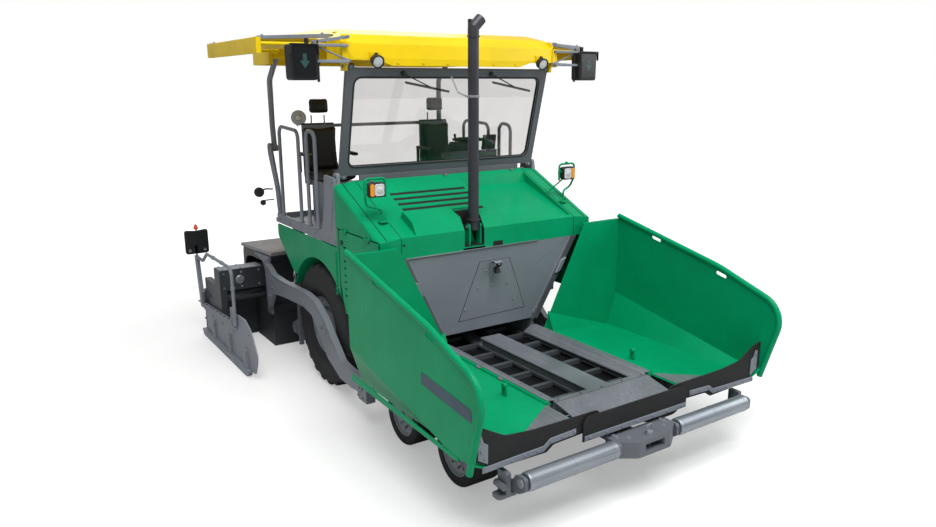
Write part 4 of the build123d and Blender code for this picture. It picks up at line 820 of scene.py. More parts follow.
# ---- Exhaust and headlights --------------------------------------------------
class PAVER_OT_exhaust_fittings(Operator):
    """Mitred tip, pipe clamp with its stay rod, and the pivot's bolts"""

    bl_idname = "paver.exhaust_fittings"
    bl_label = "Exhaust fittings"

    def execute(self, context):
        x, d = -0.2, -1.39
        # tip: a short pipe leaning to the left, its mouth cut level with the lean
        tip = pipe([(x, d, 3.66), (x, d, 3.74), (x + 0.085, d, 3.822)], 0.0535, 0.05, across=(0, 1, 0),
            sides=28)
        flange = turned(((0, 0.060), (0.012, 0.060), (0.014, 0.054)), (x, d, 3.655), (0, 0, 1), 28)
        foot = turned(((0, 0.0535), (0.003, 0.066), (0.016, 0.066), (0.02, 0.0535)), (x, d, 1.94), (0, 0, 1),
            28)
        # a black disc inside the tip's mouth: painted shade in the pipe
        mouth = turned(((0, 0.045), (0.001, 0.045)), (x + 0.0855, d, 3.8225), (0.72, 0, 0.69), 24)
        piece("exhaust_tip", "exhaust", "pipe black", "pipe_black", tip, flange, foot)
        piece("exhaust_mouth", "exhaust", "painted shade black", "pipe_black", mouth)
        band = turned(((0, 0.0525), (0.001, 0.0565), (0.024, 0.0565), (0.025, 0.0525)), (x, d, 3.11),
            (0, 0, 1), 32)
        ears = [bar((x - 0.085, x - 0.05), (d + s - 0.003, d + s + 0.003), (3.112, 3.134))
            for s in (-0.008, 0.008)]
        rod = pipe([(x - 0.075, d, 3.122), (x - 0.16, d + 0.02, 3.16), (x - 0.21, d + 0.05, 3.30)], 0.007,
            0.03, across=(0, 1, 0))
        piece("exhaust_clamp", "exhaust", "chrome", "chrome_rod", band, rod, *ears,
            bolts([(x - 0.068, d - 0.011, 3.123)], (0, -1, 0), 0.007))
        pivots = bolts([(x - 0.0735, d, 1.88)], (-1, 0, 0), 0.013)
        piece("exhaust_pivot_bolts", "chassis", "bolt zinc", "bare_steel", pivots,
            bolts([(x + 0.0735, d, 1.88)], (1, 0, 0), 0.013))
        return {"FINISHED"}


class PAVER_OT_headlights(Operator):
    """Headlights: rounded housings with a clear and an amber lens in loops of tube"""

    bl_idname = "paver.headlights"
    bl_label = "Headlights"

    def execute(self, context):
        x, d, z = 1.156, -1.185, 2.295
        housing = slab("d", rect(x - 0.082, x + 0.082, z - 0.070, z + 0.070), d - 0.045, d + 0.015, 0.03,
            0.012)
        can = turned(((-0.05, 0.045), (-0.04, 0.058), (0.03, 0.062)), (x - 0.01, d + 0.02, z), (0, -1, 0), 28)
        bezel = slab("d", rect(x - 0.08, x + 0.08, z - 0.066, z + 0.066), d - 0.054, d - 0.045, 0.022, 0.004)
        piece("headlight_housings", "chassis", "black plastic", "lamp_black",
            mirrored(merged(housing, can, bezel)), stands_for=["headlights"])
        clear = slab("d", rect(x - 0.070, x + 0.026, z - 0.056, z + 0.056), d - 0.060, d - 0.050, 0.022,
            0.004)
        bulb = turned(((0, 0.036), (0.004, 0.030), (0.008, 0.012)),
            (x - 0.022, d - 0.0595, z), (0, -1, 0), 24)
        amber = slab("d", rect(x + 0.030, x + 0.072, z - 0.056, z + 0.056), d - 0.060, d - 0.050, 0.016,
            0.004)
        piece("headlight_lenses", "chassis", "white lens", "lamp_black", mirrored(merged(clear, bulb)))
        piece("headlight_amber", "chassis", "amber lens", "lamp_black", mirrored(amber))
        # loop of tube round the lamp, its legs carried down to the hood
        loop = pipe([(1.095, -1.215, 1.99), (1.095, -1.215, 2.11), (1.235, -1.16, 2.145),
                (1.262, -1.19, 2.24), (1.262, -1.19, 2.395), (1.052, -1.19, 2.395), (1.052, -1.19, 2.22)],
            0.0115, 0.04, across=(0, 1, 0), steps=7)
        feet = merged(bar((1.055, 1.135), (-1.245, -1.185), (1.985, 2.0)),
            bolts([(1.07, -1.215, 2.0), (1.12, -1.215, 2.0)], (0, 0, 1), 0.006),
            bar((1.052, 1.076), (-1.20, -1.18), (2.30, 2.33)),
            bar((1.236, 1.262), (-1.20, -1.18), (2.30, 2.33)))
        piece("headlight_loops", "chassis", "green enamel", "body_green", mirrored(merged(loop, feet)))
        strut = merged(pipe([(1.02, -1.03, 2.07), (1.235, -1.17, 2.30)], 0.008, across=(0, 0, 1)),
            turned(((0, 0.018), (0.012, 0.018), (0.016, 0.012)), (1.15, -1.19, 2.402), (0, 0, 1), 16))
        piece("headlight_strut", "chassis", "green enamel", "body_green", strut)
        return {"FINISHED"}


# ---- Operator's place ---------------------------------------------------------
class PaverSeats(PropertyGroup):
    """Seat upholstery."""

    voxel: FloatProperty(name="Voxel", description="Size the foam is remeshed to", unit="LENGTH",
                         default=0.006)
    pressure: FloatProperty(name="Pressure", description="How hard the foam fills its cover", default=4.0)
    swell: FloatProperty(name="Swell", description="Furthest that the cover moves out", unit="LENGTH",
        default=0.022)


def foam(name, shape):
    """A pad of foam in its cover: remeshed, filled as cloth under pressure, its movement capped."""
    seats = bpy.context.scene.paver_seats
    obj = piece(name, "chassis", "vinyl", "seat_black", shape, smooth=180)
    bpy.context.view_layer.objects.active = obj
    remesh = obj.modifiers.new("foam", "REMESH")
    remesh.mode, remesh.voxel_size = "VOXEL", seats.voxel
    bpy.ops.object.modifier_apply(modifier=remesh.name)
    mesh = obj.data
    start = np.empty(len(mesh.vertices) * 3)
    mesh.vertices.foreach_get("co", start)
    start = start.reshape(-1, 3)
    cloth = obj.modifiers.new("cover", "CLOTH")
    cloth.settings.use_pressure = True
    cloth.settings.uniform_pressure_force = seats.pressure
    cloth.settings.effector_weights.gravity = 0
    cloth.settings.quality = 4
    cloth.point_cache.frame_start, cloth.point_cache.frame_end = 1, 16
    for step in range(1, 17):
        bpy.context.scene.frame_set(step)
    shown = obj.evaluated_get(bpy.context.evaluated_depsgraph_get())
    moved = np.empty(len(mesh.vertices) * 3)
    shown.data.vertices.foreach_get("co", moved)
    shift = moved.reshape(-1, 3) - start
    length = np.linalg.norm(shift, axis=1)[:, None] + 1e-9
    obj.modifiers.remove(cloth)
    bpy.context.scene.frame_set(1)
    mesh.vertices.foreach_set("co", (start + shift * np.minimum(1, seats.swell / length)).ravel())
    smooth = obj.modifiers.new("smooth", "SMOOTH")
    smooth.factor, smooth.iterations = 0.5, 4
    bpy.ops.object.modifier_apply(modifier=smooth.name)
    mesh.update()
    mesh.shade_smooth()
    return obj


def cord_round(outline, radius=0.006, axis="z", at=0.0):
    """Piping sewn along a closed outline: a round bar that follows it."""
    flat = rounded(outline, 0.06)
    line = np.insert(flat, "xdz".index(axis), at, axis=1)
    tangent = np.roll(line, -1, 0) - np.roll(line, 1, 0)
    tangent /= np.linalg.norm(tangent, axis=1)[:, None]
    across = np.zeros(3)
    across["xdz".index(axis)] = 1
    first = np.cross(tangent, across)
    angle = np.linspace(0, TURN, 8, endpoint=False)[None, :, None]
    grid = place(line)[:, None] + radius * (np.cos(angle) * first[:, None] + np.sin(angle) * across)
    return rings(grid, closed_way=True)


class PAVER_OT_seats(Operator):
    """Two seats: foam pads in vinyl with sewn piping, back shells, armrests and headrests"""

    bl_idname = "paver.seats"
    bl_label = "Seats"

    def execute(self, context):
        for name, side in SIDES:
            x = side * 0.78
            pad = slab("z", [(x - 0.205, 0.385), (x + 0.205, 0.385), (x + 0.215, 0.80), (x - 0.215, 0.80)],
                2.195, 2.262, 0.06, 0.02)
            cushion = foam(f"seat_pad_{name}", pad)
            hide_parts("seat_cushions")
            back_line = [(0.872, 2.26), (0.915, 2.76), (0.955, 2.755), (0.925, 2.26)]
            back = slab("x", back_line, x - 0.205, x + 0.205, 0.03, 0.02)
            foam(f"seat_back_{name}", back)
            rest = slab("x", [(0.905, 2.915), (0.918, 3.075), (0.968, 3.07), (0.962, 2.915)], x - 0.115,
                x + 0.115, 0.025, 0.02)
            foam(f"seat_headrest_{name}", rest)
            trim = [cord_round([(x - 0.225, 0.375), (x + 0.225, 0.375), (x + 0.228, 0.815),
                        (x - 0.228, 0.815)], 0.005, "z", 2.266)]
            for shift in (-0.075, 0.075):
                trim.append(pipe([(x + shift, 0.40, 2.286), (x + shift, 0.78, 2.286)], 0.0035, sides=6))
            piece(f"seat_piping_{name}", "chassis", "vinyl", "seat_black", *trim)
            shell = [slab("x", [(0.935, 2.20), (0.975, 2.80), (1.0, 2.80), (0.985, 2.18)], x - 0.20, x + 0.20,
                    0.01, 0.008)]
            for arm in (-0.27, 0.27):
                shell.append(slab("x", [(0.55, 2.44), (0.55, 2.475), (0.90, 2.485), (0.93, 2.45)],
                        x + arm - 0.025, x + arm + 0.025, 0.012, 0.006))
                shell.append(bar((x + arm - 0.012, x + arm + 0.012), (0.885, 0.925), (2.25, 2.46)))
            piece(f"seat_shell_{name}", "chassis", "black plastic", "seat_black", *shell)
            tag = bar((x + side * 0.2445, x + side * 0.2965), (0.60, 0.64), (2.4745, 2.4795), 0.004, 0.001)
            piece(f"seat_arm_tag_{name}", "chassis", "yellow gelcoat", "roof_yellow", tag)
            # buckles in the red lens finish, which glows faintly: painted light
            belt = merged(bar((x - 0.24, x - 0.225), (0.75, 0.80), (2.18, 2.30), 0.004),
                bar((x + 0.225, x + 0.24), (0.75, 0.80), (2.18, 2.26)))
            piece(f"seat_buckles_{name}", "chassis", "red lens", "seat_black", belt)
        return {"FINISHED"}


class PAVER_OT_console(Operator):
    """Steering console: sloping panel, screen, switches, steering column boot and wheel grips"""

    bl_idname = "paver.console"
    bl_label = "Console"

    def execute(self, context):
        x, d = 0.8, 0.18
        panel = slab("x", [(d - 0.10, 2.468), (d - 0.10, 2.56), (d - 0.07, 2.585), (d + 0.0, 2.50),
                (d + 0.095, 2.452), (d + 0.09, 2.442)], x - 0.32, x - 0.06, 0.012, 0.004)
        screen_box = slab("x", [(d - 0.105, 2.47), (d - 0.13, 2.64), (d - 0.10, 2.65), (d - 0.06, 2.47)],
            x + 0.13, x + 0.31, 0.012, 0.004)
        piece("console_housings", "chassis", "dark coat", "dark_steel", panel, screen_box)
        knobs = []
        for row in range(2):
            for k in range(6):
                at = (x - 0.29 + 0.042 * k, d + 0.03 + 0.035 * row, 2.497 - 0.017 * row)
                knobs.append(turned(((0, 0.009), (0.012, 0.009), (0.016, 0.006)), at, (0, 0.35, 1), 12))
        lever = [pipe([(x - 0.20, d - 0.02, 2.53), (x - 0.20, d + 0.0, 2.63)], 0.006),
            turned(((0, 0.012), (0.03, 0.016), (0.045, 0.010)), (x - 0.20, d - 0.002, 2.62), (0, 0.2, 1), 16)]
        piece("console_switches", "chassis", "black plastic", "lamp_black", *knobs, *lever)
        boot = turned(((0, 0.052), (0.02, 0.05), (0.025, 0.04), (0.045, 0.042), (0.05, 0.034), (0.08, 0.03)),
            (x, d + 0.03, 2.455), (0, 0, 1), 24)
        piece("console_boot", "chassis", "flap", "lamp_black", boot)
        hub = turned(((0, 0.044), (0.006, 0.044), (0.012, 0.03)), (x, d + 0.03, 2.605), (0, 0, 1), 24)
        rim_grips = [turned(((-0.02, 0.0155), (0.0, 0.0175), (0.02, 0.0155)),
                (x + 0.17 * np.cos(a), d + 0.03 + 0.17 * np.sin(a), 2.59), (-np.sin(a), np.cos(a), 0), 10)
            for a in np.linspace(0, TURN, 12, endpoint=False)]
        piece("steering_wheel_grips", "steering_wheel", "black plastic", "lamp_black", hub, *rim_grips)
        screen = slab("x", [(d - 0.098, 2.50), (d - 0.118, 2.625), (d - 0.1165, 2.6255), (d - 0.0965, 2.50)],
            x + 0.145, x + 0.295, 0.0, 0.0005)
        piece("console_screen", "chassis", "glossy black", "lamp_black", screen)
        return {"FINISHED"}


def on_screen(across, up, out=0.0):
    """A point on the windscreen's plane: across, up its slope from the foot, and out to the front."""
    slope = np.array([0.0, -0.269, 1.06]) / np.hypot(0.269, 1.06)
    front = np.array([0.0, -slope[2], slope[1]])
    return np.array([0.0, -0.487, 2.34]) + np.array([1.0, 0, 0]) * across + slope * up + front * out


class PAVER_OT_windscreen_fittings(Operator):
    """Rubber seal around the glass, two wipers hung from the top, and hinge bolts"""

    bl_idname = "paver.windscreen_fittings"
    bl_label = "Windscreen fittings"

    def execute(self, context):
        high = np.hypot(0.269, 1.06)
        outline = rounded(rect(-1.10, 1.10, 0.115, high - 0.115), 0.07, steps=8)
        seals = []
        for face in (1, -1):
            section = ((0.0, 0.006), (0.012, 0.026), (0.022, 0.026), (0.026, 0.018), (0.012, 0.004))
            grid = [np.stack([on_screen(a, u, face * out) for a, u in inward(outline, -grow)])
                for grow, out in section]
            seals.append(rings(place(np.stack(grid)), closed_way=True))
        piece("windscreen_seal", "windscreen", "flap", "flap_rubber", *seals)
        wipers = []
        for x, swing in ((-0.60, 0.34), (0.45, 0.34)):
            top = on_screen(x, high - 0.06, 0.035)
            joint = on_screen(x + swing, high - 0.20, 0.022)
            end_a, end_b = on_screen(x + swing - 0.30, high - 0.145, 0.016), on_screen(x + swing + 0.22,
                high - 0.24, 0.016)
            wipers += [turned(((0, 0.024), (0.02, 0.024), (0.03, 0.016)), on_screen(x, high - 0.06, 0.018),
                    (0, -1, -0.25), 16), pipe([top, joint], 0.006, across=(0, 0, 1)),
                pipe([end_a, end_b], 0.007, across=(0, 1, 0.2)),
                pipe([end_a + (0, 0.004, -0.012), end_b + (0, 0.004, -0.012)], 0.004, across=(0, 1, 0.2))]
        piece("windscreen_wipers", "windscreen", "black plastic", "lamp_black", *wipers)
        pins = mirrored(merged(bolts([on_screen(1.16, 0, 0.03), on_screen(1.16, high, 0.03)], (0, -1, -0.25),
                    0.012)))
        piece("windscreen_bolts", "windscreen", "bolt zinc", "bare_steel", pins)
        return {"FINISHED"}


class PAVER_OT_platform_fittings(Operator):
    """Tread strips, side panel recess, post brackets, mirror, toe bolts and rail clamps"""

    bl_idname = "paver.platform_fittings"
    bl_label = "Platform fittings"

    def execute(self, context):
        treads = [slab("z", rect(x - 0.03, x + 0.03, -0.46, 1.10), 1.700, 1.7035, 0.01, 0.001)
            for x in np.arange(-1.15, 1.16, 0.10)]
        piece("platform_treads", "chassis", "tread", "tread_steel", *treads)
        panel = merged(slab("x", [(-0.40, 1.79), (-0.24, 1.79), (-0.285, 2.02), (-0.32, 2.26), (-0.44, 2.26),
                    (-0.47, 2.10)], 1.2618, 1.267, 0.03, 0.002),
            bolts([(1.2625, d, z) for d, z in ((-0.49, 1.70), (-0.30, 1.70), (0.05, 1.70), (0.40, 1.70),
                        (0.75, 1.70), (1.10, 1.70), (-0.47, 2.30), (-0.30, 2.31))], (1, 0, 0), 0.009))
        piece("platform_side_fittings", "chassis", "grey coat", "frame_grey", mirrored(panel))
        frame_line = []
        for d, z in ((1.165, 1.80), (1.20, 2.05), (1.395, 2.50)):
            frame_line.append(turned(((0, 0.016), (0.006, 0.016), (0.012, 0.011)), (1.2305, d + 0.03, z),
                    (1, 0, 0), 12))
        piece("platform_post_bolts", "chassis", "bolt zinc", "bare_steel", mirrored(merged(*frame_line)))
        clamps = mirrored(merged(*(turned(((0, 0.03), (0.004, 0.034), (0.012, 0.034), (0.016, 0.022)),
                        (1.251, d, 1.7605), (0, 0, 1), 20) for d in (-0.04, 0.19, 0.42, 0.98))))
        piece("handrail_flanges", "chassis", "grey coat", "frame_grey", clamps)
        # round mirror on an arm at the rear post of each side
        mirror = mirrored(merged(pipe([(1.235, 1.36, 2.02), (1.30, 1.42, 2.02), (1.36, 1.48, 1.99)], 0.009,
                    0.03, across=(0, 0, 1)), turned(((0, 0.03), (0.012, 0.055), (0.03, 0.06), (0.034, 0.054)),
                    (1.36, 1.49, 1.98), (0.35, -1, 0), 28), turned(((0, 0.022), (0.02, 0.03), (0.05, 0.034),
                        (0.054, 0.028)), (1.33, 1.45, 1.86), (0.4, -1, 0), 24),
                pipe([(1.24, 1.33, 1.90), (1.33, 1.44, 1.88)], 0.007, across=(0, 0, 1))))
        piece("platform_mirrors", "chassis", "black plastic", "lamp_black", mirror)
        # round fan guard behind the right seat
        guard = [turned(((0, 0.085 - 0.014 * k), (0.004, 0.088 - 0.014 * k), (0.008, 0.085 - 0.014 * k),
                    (0.008, 0.080 - 0.014 * k), (0.0, 0.080 - 0.014 * k)), (-0.98, 1.06, 2.86),
                (-0.3, -1, 0.1), 28) for k in range(5)]
        piece("seat_fan_guard", "chassis", "white plastic", "lamp_black", *guard,
            turned(((0, 0.03), (0.05, 0.03), (0.06, 0.02)), (-0.98, 1.075, 2.86), (-0.3, -1, 0.1), 20),
            pipe([(-0.98, 1.10, 2.86), (-0.98, 1.108, 2.76)], 0.01, 0.01))
        return {"FINISHED"}


# ---- Tunnel plate ------------------------------------------------------------
def on_plate(x, z, out=0.0):
    """A point on the leaning plate over the tunnel's mouth, out from its face."""
    return (x, -1.457 + (1.665 - z) * 80 / 855 - out, z)


def plate_slab(outline, out_a, out_b, radius=0.0, edge=0.002):
    """An outline of (x, z) laid on the leaning plate, between two distances from its face."""
    flat = rounded(outline, radius)
    layers = ((inward(flat, edge), out_a), (flat, out_a + (out_b - out_a) * 0.3),
        (flat, out_b - (out_b - out_a) * 0.3), (inward(flat, edge), out_b))
    return rings(place(np.stack([np.stack([*on_plate(ring[:, 0], ring[:, 1], at)], -1) for ring,
                    at in ((r, np.full(len(r), a)) for r, a in layers)])))


class PAVER_OT_tunnel_plate_fittings(Operator):
    """Plate over the tunnel, its inspection cover, sensor bracket, side seals, strips and top edge"""

    bl_idname = "paver.tunnel_plate_fittings"
    bl_label = "Tunnel plate fittings"

    def execute(self, context):
        sheet = plate_slab([(-1.01, 1.664), (1.01, 1.664), (0.546, 0.811), (-0.546, 0.811)], -0.0095, 0.0,
            0.0, 0.001)
        piece("tunnel_sheet", "chassis", "grey coat", "frame_grey", sheet, stands_for=["tunnel_plate"])
        cover = [(-0.165, 1.53), (0.205, 1.53), (0.45, 0.95), (-0.385, 0.93)]
        seal = mirrored(plate_slab([(0.99, 1.664), (1.065, 1.664), (0.625, 0.80), (0.546, 0.80)], 0.0, 0.022,
                0.004))
        piece("tunnel_side_seals", "chassis", "mid coat", "frame_grey", seal)
        # a black band round the cover: painted shade in its groove
        groove = [plate_slab(cover, 0.0, 0.0012, 0.012, 0.0005)]
        piece("tunnel_cover_groove", "chassis", "painted shade black", "dark_steel", *groove)
        piece("tunnel_cover", "chassis", "grey coat", "frame_grey",
            plate_slab([(-0.160, 1.526), (0.200, 1.526), (0.442, 0.955), (-0.377, 0.935)], 0.0, 0.0024, 0.01,
                0.0005))
        places = [on_plate(x, z, 0.0026) for x, z in ((-0.085, 1.43), (0.088, 1.43), (-0.17, 1.26),
                (0.19, 1.26), (0.0, 1.27), (-0.31, 1.05), (0.29, 1.07), (-0.03, 1.44), (0.05, 1.40))]
        piece("tunnel_cover_bolts", "chassis", "bright steel", "bare_steel",
            bolts(places, (0, -1, -0.094), 0.008))
        sensor = merged(slab("x", [(-1.445, 1.36), (-1.445, 1.50), (-1.51, 1.53), (-1.545, 1.52),
                    (-1.545, 1.49), (-1.50, 1.46), (-1.475, 1.36)], -0.045, -0.037, 0.006),
            slab("x", [(-1.445, 1.42), (-1.445, 1.50), (-1.51, 1.53), (-1.545, 1.52), (-1.545, 1.49),
                    (-1.50, 1.46)], 0.037, 0.045, 0.006), slab("x",
                [(-1.452, 1.512), (-1.51, 1.532), (-1.548, 1.522), (-1.546, 1.514), (-1.51, 1.524),
                    (-1.455, 1.504)], -0.045, 0.045, 0.002), bolts([(0.0, -1.5475, 1.505)], (0, -1, 0),
                0.008))
        piece("tunnel_sensor_bracket", "chassis", "grey coat", "frame_grey", sensor)
        piece("tunnel_sensor", "chassis", "black plastic", "lamp_black",
            turned(((-0.03, 0.018), (0.03, 0.018), (0.035, 0.03), (0.075, 0.032), (0.08, 0.026)),
                (0.0, -1.50, 1.485), (0, -0.25, -1), 20))
        strips = []
        for side in (1, -1):
            line = [(side * 0.985, 1.655), (side * 1.045, 1.655), (side * 0.80, 1.22), (side * 0.60, 0.86),
                (side * 0.555, 0.86), (side * 0.75, 1.22)]
            strips.append(plate_slab(line, -0.002, 0.010, 0.004))
            bulge = [(side * 0.87, 1.42), (side * 0.945, 1.45), (side * 0.87, 1.30), (side * 0.80, 1.27)]
            strips.append(plate_slab(bulge, 0.0, 0.045, 0.01, 0.006))
            t = np.linspace(0.05, 0.95, 6)
            strips.append(bolts([on_plate(side * (1.01 - 0.43 * k), 1.62 - 0.74 * k, 0.010)
                        for k in t if not 0.22 < k < 0.42], (0, -1, -0.094), 0.008))
        piece("tunnel_side_strips", "chassis", "grey coat", "frame_grey", *strips)
        top = slab("x", [(-1.470, 1.6655), (-1.470, 1.6735), (-1.4575, 1.6735), (-1.4575, 1.6655)], -1.0,
            0.55, 0.001, 0.001)
        piece("tunnel_plate_edge", "chassis", "bright steel", "bare_steel", top)
        return {"FINISHED"}


# ---- Roof --------------------------------------------------------------------
class PAVER_OT_roof_fittings(Operator):
    """Front work lights, header fittings, awning rails and folds, and lamp arms"""

    bl_idname = "paver.roof_fittings"
    bl_label = "Roof fittings"

    def execute(self, context):
        lights, lenses = [], []
        for x in (-0.94, 1.03):
            lights.append(turned(((-0.045, 0.03), (-0.03, 0.055), (0.02, 0.062), (0.032, 0.062),
                        (0.032, 0.054), (0.02, 0.052)), (x, -0.885, 3.445), (0, -1, -0.35), 28))
            lights.append(bar((x - 0.012, x + 0.012), (-0.885, -0.845), (3.47, 3.52)))
            lenses.append(turned(((0.0, 0.052), (0.006, 0.048), (0.010, 0.03)), (x, -0.9045, 3.438),
                    (0, -1, -0.35), 28))
        piece("roof_work_lights", "roof", "black plastic", "lamp_black", *lights)
        piece("roof_work_lenses", "roof", "white lens", "lamp_black", *lenses)
        # header bolts and two pads under the fascia
        header = merged(bolts([(x, -0.8515, 3.43) for x in np.linspace(-0.7, 0.7, 6)], (0, -1, 0), 0.008),
            bar((-1.0, -0.88), (-0.862, -0.85), (3.47, 3.53)),
            bar((0.97, 1.09), (-0.862, -0.85), (3.47, 3.53)))
        piece("roof_header_fittings", "roof", "yellow gelcoat", "roof_yellow", header)
        for name, side in SIDES:
            rails = []
            for d in (-0.48, 1.04):
                rails.append(slab("d", [(1.235, 3.66), (1.235, 3.70), (1.93, 3.66), (1.93, 3.63)], d - 0.022,
                        d + 0.022, 0.006))
                rails.append(bolts([(1.30, d, 3.698), (1.88, d, 3.664)], (0, 0, 1), 0.010))
            rails.append(pipe([(1.93, -0.48, 3.635), (1.93, 1.04, 3.635)], 0.016))
            piece(f"awning_rails_{name}", f"awning_{name}", "grey coat", "frame_grey",
                sided(merged(*rails), side))
            lip = [slab("d", [(1.905, 3.652), (1.952, 3.652), (1.952, 3.508), (1.944, 3.508), (1.94, 3.64)],
                    -0.45, 1.01, 0.01, 0.003)]
            for d in (-0.30, 0.0, 0.30, 0.60, 0.90):
                lip.append(slab("x", [(d - 0.03, 3.649), (d + 0.03, 3.649), (d + 0.02, 3.662),
                            (d - 0.02, 3.662)], 1.28, 1.90, 0.004, 0.004))
            piece(f"awning_folds_{name}", f"awning_{name}", "yellow gelcoat", "roof_yellow",
                sided(merged(*lip), side))
            arms = []
            for z0, z1 in ((3.64, 3.585), (3.43, 3.42)):
                arms.append(slab("d", [(1.20, z0), (1.20, z0 + 0.03), (1.57, z1 + 0.025), (1.57, z1)], -0.868,
                        -0.852, 0.004))
            arms += [pipe([(1.22, -0.86, 3.45), (1.54, -0.86, 3.57)], 0.008, across=(0, 1, 0)),
                bolts([(1.23, -0.8685, 3.655), (1.23, -0.8685, 3.445), (1.55, -0.8685, 3.60),
                        (1.55, -0.8685, 3.435)], (0, -1, 0), 0.009)]
            piece(f"lamp_arms_{name}", "roof", "grey coat", "frame_grey", sided(merged(*arms), side))
        return {"FINISHED"}


class PAVER_OT_lamp_boxes(Operator):
    """Direction-lamp boxes: rounded hoods with dark screens, ribs behind and their yokes"""

    bl_idname = "paver.lamp_boxes"
    bl_label = "Lamp boxes"

    def execute(self, context):
        for name, side in SIDES:
            x, d, z = 1.665, -0.86, 3.425
            box = slab("d", [(x - 0.125, z - 0.155), (x + 0.125, z - 0.155), (x + 0.13, z + 0.155),
                    (x - 0.13, z + 0.155)], d - 0.065, d + 0.085, 0.03, 0.014)
            brow = slab("d", [(x - 0.132, z + 0.06), (x - 0.122, z + 0.06), (x - 0.118, z + 0.145),
                    (x + 0.118, z + 0.145), (x + 0.122, z + 0.06), (x + 0.132, z + 0.06),
                    (x + 0.13, z + 0.157), (x - 0.13, z + 0.157)], d - 0.085, d - 0.06, 0.006, 0.002)
            ribs = [bar((x - 0.10 + 0.04 * k, x - 0.092 + 0.04 * k), (d + 0.08, d + 0.10),
                    (z - 0.12, z + 0.12)) for k in range(6)]
            yoke = merged(bar((x - 0.165, x - 0.13), (d - 0.02, d + 0.03), (z - 0.02, z + 0.02)),
                pipe([(x - 0.15, d, z - 0.17), (x - 0.15, d, z + 0.19)], 0.012),
                turned(((0, 0.02), (0.05, 0.02)), (x - 0.05, d, z + 0.155), (0, 0, 1), 16))
            stands = ["lamp_brackets"] if side > 0 else []
            piece(f"lamp_box_{name}", "roof", "black plastic", "lamp_black",
                sided(merged(box, brow, yoke, *ribs), side), stands_for=stands)
            screen = slab("d", [(x - 0.105, z - 0.13), (x + 0.105, z - 0.13), (x + 0.108, z + 0.13),
                    (x - 0.108, z + 0.13)], d - 0.0665, d - 0.070, 0.02, 0.001)
            piece(f"lamp_screen_{name}", "roof", "glossy black", "lamp_black", sided(screen, side))
            arrow = slab("d", [(x - 0.045, z + 0.01), (x, z - 0.055), (x + 0.045, z + 0.01),
                    (x + 0.018, z + 0.01), (x + 0.018, z + 0.07), (x - 0.018, z + 0.07),
                    (x - 0.018, z + 0.01)], d - 0.0702, d - 0.0712, 0.002, 0.0003)
            piece(f"lamp_arrow_{name}", "roof", "arrow lens", "lamp_black", sided(arrow, side))
            stay = [bar((1.225, 1.56), (-0.888, -0.851), (3.422, 3.448)),
                bar((1.225, 1.56), (-0.888, -0.851), (3.562, 3.588))]
            piece(f"lamp_stays_{name}", "roof", "grey coat", "frame_grey", sided(merged(*stay), side))
        return {"FINISHED"}


# ---- Screed ------------------------------------------------------------------
class PAVER_OT_screed_fittings(Operator):
    """Walkway ribs, front plates, reflectors, rear covers, hoses and bolts of the basic screed"""

    bl_idname = "paver.screed_fittings"
    bl_label = "Screed fittings"

    def execute(self, context):
        slope = -76 / 1200
        ribs = []
        for d in np.arange(1.42, 2.59, 0.03):
            z = 1.2365 + (d - 1.40) * slope
            ribs.append(slab("x", [(d - 0.009, z), (d - 0.005, z + 0.004), (d + 0.005, z + 0.004),
                        (d + 0.009, z)], -1.285, 1.285, 0.0008, 0.0008))
        piece("walkway_ribs", "screed", "tread", "tread_steel", *ribs)
        # black discs at the front corners: painted shade in the holes
        corner = []
        for x in (1.10, 1.19):
            for z in (1.05, 0.98, 0.91):
                corner.append(turned(((0, 0.018), (0.002, 0.018)), (x, 1.5135, z), (0, -1, 0), 18))
        piece("screed_corner_holes", "screed", "painted shade black", "dark_steel", mirrored(merged(*corner)))
        strips = merged(bar((0.95, 1.27), (1.503, 1.5135), (0.60, 1.12), 0.02),
            bar((0.30, 0.90), (1.503, 1.5135), (0.62, 1.00), 0.02),
            bolts([(x, 1.503, z) for x in (0.98, 1.24) for z in (0.64, 0.86, 1.09)], (0, -1, 0), 0.009),
            bolts([(x, 1.503, z) for x in (0.33, 0.87) for z in (0.65, 0.97)], (0, -1, 0), 0.009),
            bar((0.05, 1.27), (1.49, 1.5135), (0.44, 0.55), 0.008))
        piece("screed_front_plates", "screed", "dark coat", "dark_steel", mirrored(strips))
        # red reflectors in the red lens finish, which glows faintly: painted light, as they are no lamps
        reflect = mirrored(turned(((0, 0.032), (0.006, 0.032), (0.008, 0.026)), (1.298, 1.55, 1.02),
                (1, 0, 0), 24))
        piece("screed_reflectors", "screed", "red lens", "lamp_black", reflect)
        arch = mirrored(merged(bolts([(1.3055, d, z)
                        for d, z in ((1.52, 1.13), (1.75, 1.135), (1.95, 1.125), (1.56, 0.80), (1.56, 0.50))],
                    (1, 0, 0), 0.011), turned(((0, 0.05), (0.012, 0.05), (0.02, 0.042)), (1.3055, 1.55, 0.93),
                    (1, 0, 0), 28)))
        piece("screed_arch_bolts", "screed", "bright steel", "bare_steel", arch)
        rear = [bar((-1.22, -0.02), (2.5905, 2.602), (0.70, 1.02), 0.03),
            bar((0.02, 1.22), (2.5905, 2.602), (0.70, 1.02), 0.03)]
        rear.append(bolts([(x, 2.602, z) for x in (-1.18, -0.62, -0.06, 0.06, 0.62, 1.18)
                    for z in (0.74, 0.98)], (0, 1, 0), 0.009))
        piece("screed_rear_covers", "screed", "grey coat", "frame_grey", *rear)
        hoses = [pipe([(x, 1.50, 0.72), (x, 1.44, 0.70), (x, 1.38, 0.85), (x, 1.37, 1.05), (x, 1.45, 1.14)],
                0.014, 0.07) for x in (-0.36, -0.32, 0.32, 0.36)]
        piece("screed_hoses", "screed", "flap", "flap_rubber", *hoses)
        return {"FINISHED"}


